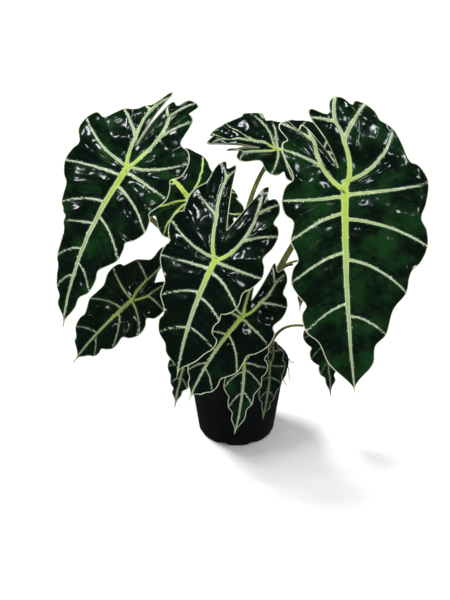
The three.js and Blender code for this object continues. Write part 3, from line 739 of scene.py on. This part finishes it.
stemSettings = {
    "Left": {"shoot": 0, "seat": 185, "base": 4.2, "top": 2.6, "leave": (-10, 34, 150),
             "arrive": (0.2, -0.5, 0.6), "reach": 124},
    "Right": {"shoot": 0, "seat": 315, "base": 4.4, "top": 2.9, "leave": (30, -5, 120),
              "arrive": (0.5, -0.55, 0.67), "reach": 75},
    "Centre": {"shoot": 0, "seat": 250, "base": 3.9, "top": 2.5, "leave": (-4, -8, 130),
               "arrive": (-0.1, -0.85, 0.2), "reach": 58},
    "Front": {"shoot": 1, "seat": 330, "base": 3.2, "top": 2, "leave": (4, -4, 45),
              "arrive": (0.1, -0.75, 0.5), "reach": 34},
    "LowLeft": {"shoot": 1, "seat": 180, "base": 3.3, "top": 2, "leave": (-12, 0, 95),
                "arrive": (-0.75, -0.4, 0.3), "reach": 42},
    "BackLeft": {"shoot": 0, "seat": 118, "base": 3.7, "top": 2.4, "leave": (-6, 10, 90),
                 "arrive": (-0.1, 0, 1), "reach": 50},
    "Top": {"shoot": 0, "seat": 58, "base": 3.8, "top": 2.4, "leave": (-7, 4, 150),
            "arrive": (0.6, 0, 0.8), "reach": 60},
    "SmallFront": {"shoot": 2, "seat": 250, "base": 2.4, "top": 1.4, "leave": (-1, -4, 30),
                   "arrive": (0, -0.8, 0.3), "reach": 24},
    "SmallRight": {"shoot": 2, "seat": 315, "base": 2.2, "top": 1.3, "leave": (3, -3, 28),
                   "arrive": (0.2, -0.8, 0.3), "reach": 18},
    "SmallLeft": {"shoot": 1, "seat": 240, "base": 2.3, "top": 1.4, "leave": (-2, -3, 30),
                  "arrive": (-0.3, -0.8, 0.3), "reach": 24},
    "FarRight": {"shoot": 2, "seat": 0, "base": 2.3, "top": 1.3, "leave": (8, 0, 68),
                 "arrive": (0.85, -0.3, 0), "reach": 34},
    "Young": {"shoot": 0, "seat": 5, "base": 2.3, "top": 1.3, "leave": (13, 0, 110),
              "arrive": (0.8, -0.6, 0.1), "reach": 36},
}

# the stems of a shoot stand on a ring about its middle
shootSettings = [
    {"node": "corm-main", "x": 0, "y": 8.8, "radius": 15, "ring": 10.4},
    {"node": "corm-left", "x": -25.6, "y": -15.3, "radius": 11.5, "ring": 7.4},
    {"node": "corm-right", "x": 24.1, "y": -17.1, "radius": 11, "ring": 7},
]
soilTop = 80.0
cormHeight = 8.0


def makeStemFinish():
    material, tree, shader = newMaterial("stemSkin")
    coarse, fine = mottle(tree, 60, 900)
    climb = attribute(tree, "climb")
    streaks = grainNoise(tree, 700, 3.0, 0.6, stretch=(1, 1, 0.06), seed=5.0)
    streakShare = remap(tree, streaks, 0.35, 0.7)
    lower = blendColours(tree, streakShare, (0.105, 0.085, 0.03), (0.17, 0.15, 0.055))
    upper = blendColours(tree, streakShare, (0.13, 0.20, 0.025), (0.24, 0.32, 0.05))
    unevenClimb = sumOf(tree, climb, remap(tree, coarse, 0.3, 0.7, -0.2, 0.2))
    body = blendColours(tree, remap(tree, unevenClimb, 0.25, 0.75), lower, upper)
    flecks = blendColours(tree, remap(tree, fine, 0.62, 0.75, 0.0, 0.6), body, (0.06, 0.035, 0.018))
    finishWith(tree, shader, flecks, remap(tree, fine, 0.3, 0.7, 0.32, 0.48),
               bumpFrom(tree, streaks, 0.35, 0.0006))
    return material


def stemPath(name):
    stem = stemSettings[name]
    blade = bladeSettings[name]
    shoot = shootSettings[stem["shoot"]]
    angle = math.radians(stem["seat"])
    foot = np.array([shoot["x"] + math.cos(angle) * shoot["ring"],
                     shoot["y"] + math.sin(angle) * shoot["ring"], soilTop + cormHeight + 0.6])
    low = foot + np.array(stem["leave"], float)
    top = blade["hub"] - blade["normal"] * 0.6
    high = top - unit(np.array(stem["arrive"], float)) * stem["reach"]
    return foot, low, high, top


def pathPoint(path, t):
    p0, p1, p2, p3 = path
    return (1 - t) ** 3 * p0 + 3 * t * (1 - t) ** 2 * p1 + 3 * t**2 * (1 - t) * p2 + t**3 * p3


def stemWidth(stem, t):
    return stem["top"] + (stem["base"] - stem["top"]) * (1 - t) ** 1.5


# A bevelled curve through the given points, turned into a closed tube.
def makeTube(name, points, widths, sides=5):
    clearSelection()
    bpy.ops.curve.primitive_nurbs_path_add(location=(0, 0, 0))
    wire = bpy.context.object
    wire.name = name
    curve = wire.data
    curve.splines.clear()
    spline = curve.splines.new("POLY")
    spline.points.add(len(points) - 1)
    for knot, place, width in zip(spline.points, points, widths):
        knot.co = (*(Vector(place) * mm), 1)
        knot.radius = width
    curve.twist_mode = "MINIMUM"
    curve.bevel_depth = mm
    curve.bevel_resolution = sides
    curve.use_fill_caps = True
    pickOnly(wire)
    bpy.ops.object.convert(target="MESH")
    tube = bpy.context.object
    pickOnly(tube)
    editAll()
    bpy.ops.mesh.remove_doubles(threshold=0.00001)
    faceOutward()
    bpy.ops.object.shade_smooth_by_angle(angle=math.radians(50))
    bakePlace(tube)
    return tube


def markClimb(piece, points):
    along = np.array(points) * mm
    spots = np.empty(len(piece.data.vertices) * 3)
    piece.data.vertices.foreach_get("co", spots)
    spots = spots.reshape(-1, 3)
    nearest = np.linalg.norm(spots[:, None] - along[None], axis=2).argmin(1)
    layer = piece.data.attributes.new("climb", "FLOAT", "POINT")
    layer.data.foreach_set("value", (nearest / (len(along) - 1)).astype(np.float32))


stemSkin = makeStemFinish()
for stemName, stem in stemSettings.items():
    path = stemPath(stemName)
    marks = np.linspace(0, 1, 46)
    points = [pathPoint(path, t) for t in marks]
    widths = []
    for t in marks:
        wide = stemWidth(stem, t)
        wide *= 1 + 0.35 * max(0, (t - 0.93) / 0.07) ** 2      # flare under the hub
        wide *= 1 + 0.22 * math.exp(-(t / 0.06) ** 2)          # sheathed foot
        widths.append(wide)
    tube = makeTube("stem" + stemName, points, widths, sides=7)
    markClimb(tube, points)
    tube.data.materials.clear()
    tube.data.materials.append(stemSkin)
    standFor(tube, "stem", "stem-" + bladeSettings[stemName]["node"])
print("stems made")


potSettings = {
    "sides": 144, "height": 91.0, "rimRadius": 60.0, "collarRadius": 58.5, "shoulder": 78.0,
    "wallTop": 54.5, "foot": 43.98, "wall": 1.8, "floor": 2.6,
    "notchCount": 8, "notchWidth": 10.0, "notchHeight": 3.2, "notchDepth": 16.0, "notchTurn": 0.55,
}


def makePot():
    pot = potSettings
    clearSelection()
    bpy.ops.mesh.primitive_circle_add(vertices=pot["sides"], radius=(pot["foot"] - 2.2) * mm,
                                      fill_type="NGON", location=(0, 0, 0))
    body = bpy.context.object
    body.name = "nurseryPot"
    foot, wallTop, collar = pot["foot"], pot["wallTop"], pot["collarRadius"]
    rim, shoulder, top = pot["rimRadius"], pot["shoulder"], pot["height"]
    slope = (wallTop - foot) / shoulder
    # radius and height of each ring: up the outside, over the rim and down the inside
    steps = [
        (foot - 0.9, 0.35), (foot + slope * 1.6, 1.6), (foot + slope * 6, 6),
        (foot + slope * 30, 30), (foot + slope * 55, 55),
        (wallTop - 0.1, shoulder - 1.2), (wallTop + 0.6, shoulder - 0.2),
        (collar - 0.9, shoulder + 0.5), (collar - 0.2, shoulder + 1.3),
        (collar, shoulder + 3), (collar + 0.3, top - 3.4),
        (rim - 0.7, top - 2.9), (rim, top - 2.1), (rim, top - 0.7), (rim - 0.6, top - 0.05),
        (rim - 1.6, top), (collar - 1.5, top - 0.35), (collar - 1.9, top - 1.6),
        (collar - 1.8, shoulder + 3.4), (wallTop - 1.2, shoulder + 1.4),
        (wallTop - pot["wall"], shoulder), (foot - pot["wall"] + slope * 4, pot["floor"] + 1.2),
        (foot - 4, pot["floor"]),
    ]
    pickOnly(body)
    editAll()
    bpy.ops.mesh.region_to_loop()
    radius, height = pot["foot"] - 2.2, 0.0
    for nextRadius, nextHeight in steps:
        ratio = nextRadius / radius
        bpy.ops.mesh.extrude_edges_move()
        bpy.ops.transform.resize(value=(ratio, ratio, 1), center_override=(0, 0, 0))
        bpy.ops.transform.translate(value=(0, 0, (nextHeight - height) * mm))
        radius, height = nextRadius, nextHeight
    bpy.ops.mesh.edge_face_add()
    faceOutward()
    # drain notches through the foot
    cutters = []
    for k in range(pot["notchCount"]):
        angle = (k + pot["notchTurn"]) / pot["notchCount"] * 2 * math.pi
        place = (foot * math.cos(angle) * mm, foot * math.sin(angle) * mm, 0)
        size = (pot["notchDepth"] * mm, pot["notchWidth"] * mm, 2 * pot["notchHeight"] * mm)
        clearSelection()
        bpy.ops.mesh.primitive_cube_add(size=1, location=place, rotation=(0, 0, angle), scale=size)
        cutter = bpy.context.object
        editAll()
        bpy.ops.mesh.bevel(offset=1.1 * mm, segments=3, affect="EDGES")
        bpy.ops.object.mode_set(mode="OBJECT")
        bakePlace(cutter)
        cutters.append(cutter)
        cut = body.modifiers.new("notch", "BOOLEAN")
        cut.operation = "DIFFERENCE"
        cut.object = cutter
        cut.solver = "EXACT"
    applyModifiers(body)
    for cutter in cutters:
        bpy.data.objects.remove(cutter, do_unlink=True)
    soften = body.modifiers.new("soften", "BEVEL")
    soften.width = 0.25 * mm
    soften.segments = 2
    soften.limit_method = "ANGLE"
    soften.angle_limit = math.radians(40)
    applyModifiers(body)
    pickOnly(body)
    bpy.ops.object.shade_smooth_by_angle(angle=math.radians(35))
    return body


def makePotPlastic():
    material, tree, shader = newMaterial("potPlastic")
    coarse, fine = mottle(tree, 22, 340)
    patch = remap(tree, coarse, 0.3, 0.75)
    base = blendColours(tree, patch, (0.0018, 0.002, 0.0026), (0.0038, 0.0042, 0.0055))
    # pale dust specks and a few rubbed marks
    specks = remap(tree, grainNoise(tree, 520, 1.0, 0.5, seed=8.0), 0.73, 0.80, 0.0, 0.5)
    scuffs = grainNoise(tree, 60, 6.0, 0.75, stretch=(1, 1, 0.35), seed=2.0)
    rubbed = remap(tree, scuffs, 0.66, 0.76, 0.0, 0.35)
    dusty = blendColours(tree, specks, base, (0.11, 0.105, 0.095))
    worn = blendColours(tree, rubbed, dusty, (0.018, 0.018, 0.019))
    gloss = sumOf(tree, remap(tree, coarse, 0.3, 0.7, 0.24, 0.34),
                  remap(tree, rubbed, 0.0, 0.35, 0.0, 0.16))
    rings = grainNoise(tree, 90, 2.0, 0.5, stretch=(0.12, 0.12, 3.0), seed=4.0)
    moulded = bumpFrom(tree, rings, 0.12, 0.0008)
    finishWith(tree, shader, worn, gloss, bumpFrom(tree, fine, 0.18, 0.00025, under=moulded))
    return material


nurseryPot = makePot()
nurseryPot.data.materials.clear()
nurseryPot.data.materials.append(makePotPlastic())
standFor(nurseryPot, "pot", "pot")
print("pot made", len(nurseryPot.data.polygons), "faces")


soilSettings = {
    "rings": 46, "sides": 150, "edge": 54.6, "chips": 210, "fibres": 70, "strewn": 52,
    "chipSize": (4.2, 2.6, 1.5),
    "chipKinds": ((1, 1), (0.7, 1.2), (1.3, 0.8), (0.5, 0.7)),
    "fibreSize": (7, 0.5, 0.4),
    "fibreKinds": (1, 0.6, 1.4),
}


def makeSoilFinish(name, dark, light, orange):
    material, tree, shader = newMaterial(name)
    coarse, fine = mottle(tree, 140, 900)
    earth = blendColours(tree, remap(tree, coarse, 0.35, 0.68), dark, light)
    bits = remap(tree, grainNoise(tree, 420, 1.0, 0.5, seed=9.0), 0.62, 0.70, 0.0, 0.85)
    mixed = blendColours(tree, bits, earth, orange)
    grit = bumpFrom(tree, fine, 0.9, 0.0012)
    finishWith(tree, shader, mixed, remap(tree, fine, 0.3, 0.7, 0.75, 0.98),
               bumpFrom(tree, coarse, 0.8, 0.002, under=grit))
    return material


def makeSoil():
    soil = soilSettings
    clearSelection()
    bpy.ops.mesh.primitive_circle_add(vertices=soil["sides"], radius=50 * mm, fill_type="NOTHING",
                                      location=(0, 0, (soilTop - 14) * mm))
    body = bpy.context.object
    body.name = "soilSurface"
    editAll()
    bpy.ops.mesh.edge_face_add()
    bpy.ops.mesh.select_all(action="SELECT")
    bpy.ops.mesh.region_to_loop()
    centre = (0, 0, soilTop * mm)
    radius, height = 50.0, soilTop - 14
    steps = [(52.3, soilTop - 2.0), (soil["edge"], soilTop - 0.9)]
    steps += [(soil["edge"] * (1 - k / soil["rings"]), soilTop) for k in range(1, soil["rings"])]
    for nextRadius, nextHeight in steps:
        ratio = nextRadius / radius
        bpy.ops.mesh.extrude_edges_move()
        bpy.ops.transform.resize(value=(ratio, ratio, 1), center_override=centre)
        bpy.ops.transform.translate(value=(0, 0, (nextHeight - height) * mm))
        radius, height = nextRadius, nextHeight
    bpy.ops.mesh.merge(type="CENTER")
    faceOutward()
    onTop = [vert.index for vert in body.data.vertices if vert.co.z > (soilTop - 1.5) * mm]
    body.vertex_groups.new(name="top").add(onTop, 1.0, "REPLACE")
    bakePlace(body)
    for label, size, strength in (("lumps", 9, 2.6), ("crumbs", 2.6, 1.5)):
        texture = bpy.data.textures.new(label, "CLOUDS")
        texture.noise_scale = size * mm
        texture.noise_depth = 2
        push = body.modifiers.new(label, "DISPLACE")
        push.texture = texture
        push.texture_coords = "LOCAL"
        push.direction = "Z"
        push.strength = strength * mm
        push.mid_level = 0.5
        push.vertex_group = "top"
    applyModifiers(body)
    bpy.ops.object.shade_smooth()
    return body


# A rough chip: a small block with its corners cut and pushed about.
def makeChip(rng, size):
    clearSelection()
    bpy.ops.mesh.primitive_cube_add(size=1, location=(0, 0, 0), scale=size)
    chip = bpy.context.object
    editAll()
    bpy.ops.mesh.bevel(offset=0.18 * min(size), segments=1, affect="EDGES")
    bpy.ops.object.mode_set(mode="OBJECT")
    bakePlace(chip)
    for vert in chip.data.vertices:
        vert.co += Vector(rng.normal(0, 0.12, 3)) * min(size)
    return chip


# Copies shapes many times into one piece; each place is (spot, turn, scale, tip).
def scatter(name, shapes, places):
    vertSets, faceSets, count = [], [], 0
    for k, (spot, turn, scale, tip) in enumerate(places):
        mesh = shapes[k % len(shapes)].data
        flat = np.empty(len(mesh.vertices) * 3)
        mesh.vertices.foreach_get("co", flat)
        verts = flat.reshape(-1, 3) * scale
        c, s = math.cos(tip), math.sin(tip)
        verts = verts @ np.array([[1, 0, 0], [0, c, s], [0, -s, c]])
        c, s = math.cos(turn), math.sin(turn)
        verts = verts @ np.array([[c, s, 0], [-s, c, 0], [0, 0, 1]]) + np.array(spot) * mm
        vertSets.append(verts)
        faceSets += [[i + count for i in face.vertices] for face in mesh.polygons]
        count += len(verts)
    mesh = bpy.data.meshes.new(name)
    mesh.from_pydata(np.concatenate(vertSets).tolist(), [], faceSets)
    mesh.update()
    piece = bpy.data.objects.new(name, mesh)
    scene.collection.objects.link(piece)
    return piece


def clearOfShoots(x, y, room):
    return all(math.hypot(x - shoot["x"], y - shoot["y"]) > shoot["radius"] + room
               for shoot in shootSettings)


def strewOnSoil(rng, count, most, room=0.5):
    places = []
    while len(places) < count:
        radius = most * math.sqrt(rng.uniform(0, 1))
        angle = rng.uniform(0, 2 * math.pi)
        x, y = radius * math.cos(angle), radius * math.sin(angle)
        if clearOfShoots(x, y, room):
            places.append(((x, y, soilTop + rng.uniform(0.2, 1.6)), rng.uniform(0, 2 * math.pi),
                           rng.uniform(0.6, 1.5), rng.uniform(-0.5, 0.5)))
    return places


rng = np.random.default_rng(5)
earthDark = makeSoilFinish("peat", (0.010, 0.0065, 0.0045), (0.034, 0.021, 0.013),
                           (0.11, 0.05, 0.018))
barkBrown = makeSoilFinish("bark", (0.022, 0.012, 0.007), (0.07, 0.036, 0.018),
                           (0.16, 0.075, 0.028))
rootBrown = makeSoilFinish("rootSkin", (0.03, 0.017, 0.01), (0.075, 0.042, 0.022),
                           (0.13, 0.075, 0.04))
fibreTan = makeSoilFinish("fibre", (0.09, 0.045, 0.018), (0.2, 0.10, 0.04), (0.3, 0.16, 0.07))
soilSurface = makeSoil()
soilSurface.data.materials.append(earthDark)
standFor(soilSurface, "soil", "soil")
long, wide, thick = soilSettings["chipSize"]
chipShapes = [makeChip(rng, (long * mm * a, wide * mm * b, thick * mm))
              for a, b in soilSettings["chipKinds"]]
chips = scatter("barkChips", chipShapes,
                strewOnSoil(rng, soilSettings["chips"], soilSettings["strewn"]))
chips.data.materials.append(barkBrown)
standFor(chips, "soil")
long, wide, thick = soilSettings["fibreSize"]
fibreShapes = [makeChip(rng, (long * mm * a, wide * mm, thick * mm))
               for a in soilSettings["fibreKinds"]]
fibres = scatter("looseFibres", fibreShapes,
                 strewOnSoil(rng, soilSettings["fibres"], soilSettings["strewn"]))
fibres.data.materials.append(fibreTan)
standFor(fibres, "soil")
for shape in chipShapes + fibreShapes:
    bpy.data.objects.remove(shape, do_unlink=True)
print("soil made")


def makeCormFinish():
    material, tree, shader = newMaterial("cormSkin")
    coarse, fine = mottle(tree, 120, 700)
    bands = grainNoise(tree, 160, 3.0, 0.6, stretch=(0.5, 0.5, 3.0), seed=6.0)
    banding = remap(tree, bands, 0.4, 0.65)
    skin = blendColours(tree, banding, (0.035, 0.02, 0.012), (0.13, 0.085, 0.045))
    flaky = blendColours(tree, remap(tree, coarse, 0.45, 0.75, 0.0, 0.7), skin, (0.09, 0.10, 0.035))
    finishWith(tree, shader, flaky, remap(tree, fine, 0.3, 0.7, 0.6, 0.85),
               bumpFrom(tree, bands, 0.8, 0.0012))
    return material


def makeCorm(shoot):
    clearSelection()
    place = (shoot["x"] * mm, shoot["y"] * mm, (soilTop + cormHeight / 2 - 0.7) * mm)
    bpy.ops.mesh.primitive_cylinder_add(vertices=40, radius=shoot["radius"] * 0.97 * mm,
                                        depth=(cormHeight + 2) * mm, end_fill_type="NGON",
                                        location=place)
    corm = bpy.context.object
    corm.name = "shoot" + shoot["node"].split("-")[1].capitalize()
    editAll()
    bpy.ops.mesh.bevel(offset=2.2 * mm, segments=4, affect="EDGES")
    bpy.ops.mesh.select_all(action="SELECT")
    bpy.ops.mesh.quads_convert_to_tris()
    bpy.ops.mesh.subdivide(number_cuts=2)
    bpy.ops.object.mode_set(mode="OBJECT")
    bakePlace(corm)
    texture = bpy.data.textures.new("cormLumps", "CLOUDS")
    texture.noise_scale = 5 * mm
    push = corm.modifiers.new("lumps", "DISPLACE")
    push.texture = texture
    push.texture_coords = "LOCAL"
    push.strength = 0.9 * mm
    push.mid_level = 0.6
    applyModifiers(corm)
    bpy.ops.object.shade_smooth()
    return corm


cormSkin = makeCormFinish()
for shoot in shootSettings:
    corm = makeCorm(shoot)
    corm.data.materials.append(cormSkin)
    standFor(corm, "corm", shoot["node"])
print("shoots made")


# start and stop are shares of the stem's length, wrap is half the angle it wraps at its foot
sheathSettings = {
    "Right": {"start": 0.1, "stop": 0.42, "wrap": 2.1},
    "Centre": {"start": 0.08, "stop": 0.35, "wrap": 1.8},
    "Young": {"start": 0.5, "stop": 0.75, "wrap": 1.5},
}


def makeSheathFinish():
    material, tree, shader = newMaterial("drySheath")
    coarse, fine = mottle(tree, 70, 800)
    veins = grainNoise(tree, 900, 2.0, 0.6, stretch=(1, 1, 0.05), seed=7.0)
    patch = remap(tree, coarse, 0.35, 0.7)
    paper = blendColours(tree, patch, (0.05, 0.028, 0.018), (0.24, 0.16, 0.10))
    lined = blendColours(tree, remap(tree, veins, 0.45, 0.6, 0.0, 0.5), paper, (0.035, 0.02, 0.013))
    finishWith(tree, shader, lined, remap(tree, fine, 0.3, 0.7, 0.6, 0.85),
               bumpFrom(tree, veins, 0.6, 0.0007))
    return material


def makeSheath(name, sheath, rng):
    path = stemPath(name)
    stem = stemSettings[name]
    steps, arcSteps = 40, 18
    marks = np.linspace(0, sheath["stop"], 60)
    across = np.array([1.0, 0, 0])
    rows = []
    for t in marks:
        heading = unit(pathPoint(path, t + 0.01) - pathPoint(path, t - 0.01 if t > 0.01 else t))
        across = unit(across - across.dot(heading) * heading)
        if t >= sheath["start"]:
            rows.append((t, pathPoint(path, t), across, np.cross(heading, across)))
    verts, faces = [], []
    for i, (t, spot, side, other) in enumerate(rows):
        share = i / (len(rows) - 1)
        half = sheath["wrap"] * (1 - 0.75 * share**2) * (1 + 0.05 * math.sin(9 * share))
        inner = stemWidth(stem, t) + 0.75 + 0.9 * share**3
        for k in range(arcSteps + 1):
            angle = half * (2 * k / arcSteps - 1)
            lift = 0.5 * abs(2 * k / arcSteps - 1) ** 4 * (0.4 + share)
            radius = inner + lift + 0.12 * math.sin(7 * angle + 5 * share)
            outward = side * math.cos(angle) * radius + other * math.sin(angle) * radius
            verts.append((spot + outward) * mm)
    wide = arcSteps + 1
    for i in range(len(rows) - 1):
        for k in range(arcSteps):
            low, high = i * wide + k, (i + 1) * wide + k
            faces.append((low, low + 1, high + 1, high))
    mesh = bpy.data.meshes.new("sheath" + name)
    mesh.from_pydata([tuple(v) for v in verts], [], faces)
    piece = bpy.data.objects.new("sheath" + name, mesh)
    scene.collection.objects.link(piece)
    shell = piece.modifiers.new("thickness", "SOLIDIFY")
    shell.thickness = 0.45 * mm
    shell.offset = 0
    applyModifiers(piece)
    editAll()
    faceOutward()
    bpy.ops.object.shade_smooth_by_angle(angle=math.radians(60))
    return piece


drySheath = makeSheathFinish()
for sheathName, sheath in sheathSettings.items():
    wrapPiece = makeSheath(sheathName, sheath, rng)
    wrapPiece.data.materials.append(drySheath)
    standFor(wrapPiece, "sheath", "sheath-" + sheathName.lower())
print("sheaths made")


# turn is the bearing in degrees; start, hang and stray are lengths in mm
rootSettings = {
    "root-right": {"turn": -16, "start": 46, "hang": 20, "stray": 0.5},
    "root-front-right": {"turn": -33, "start": 44, "hang": 15, "stray": 3},
    "root-stray": {"turn": -2, "start": 47, "hang": 6, "stray": 5},
}


def makeRoot(node, root, rng):
    over = 1.3
    inside = potSettings["collarRadius"] - potSettings["wall"]
    rim, top = potSettings["rimRadius"], potSettings["height"]
    spots = [
        (root["start"], soilTop + over, -6), (inside - 4, soilTop + over + 1.5, -2),
        (inside - over - 0.4, top - 2, 1), (inside + 0.2, top + over + 0.6, 1),
        (rim - 0.4, top + over + 0.6, 0), (rim + over + 0.5, top - 1.5, -1),
        (rim + over + 0.3 + 0.4 * root["stray"], top - 0.55 * root["hang"], 1),
        (rim + over + root["stray"], top - root["hang"], 4),
    ]
    knots = []
    for radius, height, drift in spots:
        angle = math.radians(root["turn"] + drift)
        knots.append((math.cos(angle) * radius, math.sin(angle) * radius, height))
    marks = np.linspace(0, len(knots) - 1, 60)
    points = smoothThrough(knots, marks)
    wander = np.cumsum(rng.normal(0, 0.05, points.shape), axis=0)
    points = points + wander - np.linspace(0, 1, 60)[:, None] * wander[-1]
    widths = [0.75 * (1 - 0.45 * k / 59) * rng.uniform(0.85, 1.15) for k in range(60)]
    return makeTube("wiry" + node.title().replace("-", ""), points, widths, sides=3)


for node, root in rootSettings.items():
    strand = makeRoot(node, root, rng)
    strand.data.materials.clear()
    strand.data.materials.append(rootBrown)
    standFor(strand, "root", node)
print("roots made")


clearSelection()
bpy.ops.mesh.primitive_plane_add(size=1, location=(0, 0, 0))
floor = bpy.context.object
floor.name = "paleFloor"
floor.scale = (9, 9, 1)
bakePlace(floor)
floorFinish, floorTree, floorShader = newMaterial("palePaper")
floorCoarse, floorFine = mottle(floorTree, 3, 60)
floorTree.links.new(blendColours(floorTree, floorCoarse, (0.86, 0.86, 0.86), (0.88, 0.88, 0.88)),
                    floorShader.inputs["Base Color"])
floorShader.inputs["Roughness"].default_value = 0.9
floor.data.materials.append(floorFinish)
floor.visible_glossy = False


def addLight(name, place, target, size, power, colour):
    clearSelection()
    bpy.ops.object.light_add(type="AREA", location=place)
    lamp = bpy.context.object
    lamp.name = name
    lamp.data.shape = "RECTANGLE"
    lamp.data.size, lamp.data.size_y = size
    lamp.data.energy = power
    lamp.data.color = colour
    lamp.rotation_euler = (Vector(target) - Vector(place)).to_track_quat("-Z", "Y").to_euler()
    return lamp


# the sun-like lamp casts the soft shadow; the boxes are seen only as shine on the leaves
shadowSettings = {"from": (-0.3, 0.3, 1.6), "to": (0.62, -0.5, 0), "energy": 3.3, "spread": 19}
clearSelection()
bpy.ops.object.light_add(type="SUN", location=(-0.8, 1.0, 1.8))
shadowLamp = bpy.context.object
shadowLamp.name = "shadowLamp"
shadowLamp.data.energy = shadowSettings["energy"]
shadowLamp.data.angle = math.radians(shadowSettings["spread"])
shadowWay = Vector(shadowSettings["to"]) - Vector(shadowSettings["from"])
shadowLamp.rotation_euler = shadowWay.to_track_quat("-Z", "Y").to_euler()
shadowLamp.visible_glossy = False
coolWhite = (0.93, 0.97, 1.0)
addLight("upperBox", (-0.5, -0.45, 1.5), (0, 0, 0.25), (0.3, 0.3), 7, coolWhite)
addLight("sideBox", (1.0, -0.6, 1.1), (0, 0, 0.25), (0.16, 0.45), 4, coolWhite)
addLight("frontBox", (0.25, -1.2, 1.6), (0, 0, 0.2), (0.4, 0.14), 4, coolWhite)

# the room is white to look at, pale as light on matt surfaces and dark in the leaves' shine
world = bpy.data.worlds.new("paleRoom")
scene.world = world
world.use_nodes = True
sky = world.node_tree
rays = addNode(sky, "ShaderNodeLightPath")
room = blendColours(sky, rays.outputs["Is Glossy Ray"], (0.6, 0.6, 0.61), (0.035, 0.04, 0.043))
backdrop = blendColours(sky, rays.outputs["Is Camera Ray"], room, (1.0, 1.0, 1.0))
sky.links.new(backdrop, sky.nodes["Background"].inputs["Color"])
sky.nodes["Background"].inputs["Strength"].default_value = 1.0

# target and distance in mm, height in degrees above level
cameraSettings = {"target": (-13.5, 0, 169.5), "distance": 1350, "height": 29.5, "lens": 72.3}
tilt = math.radians(cameraSettings["height"])
lookAt = Vector(cameraSettings["target"]) * mm
backward = Vector((0, -math.cos(tilt), math.sin(tilt)))
cameraPlace = lookAt + backward * cameraSettings["distance"] * mm
clearSelection()
bpy.ops.object.camera_add(location=cameraPlace, rotation=(math.pi / 2 - tilt, 0, 0))
viewer = bpy.context.object
viewer.name = "viewer"
viewer.data.lens = cameraSettings["lens"]
viewer.data.sensor_width = 36
viewer.data.sensor_fit = "AUTO"
scene.camera = viewer
scene.view_settings.view_transform = "Standard"
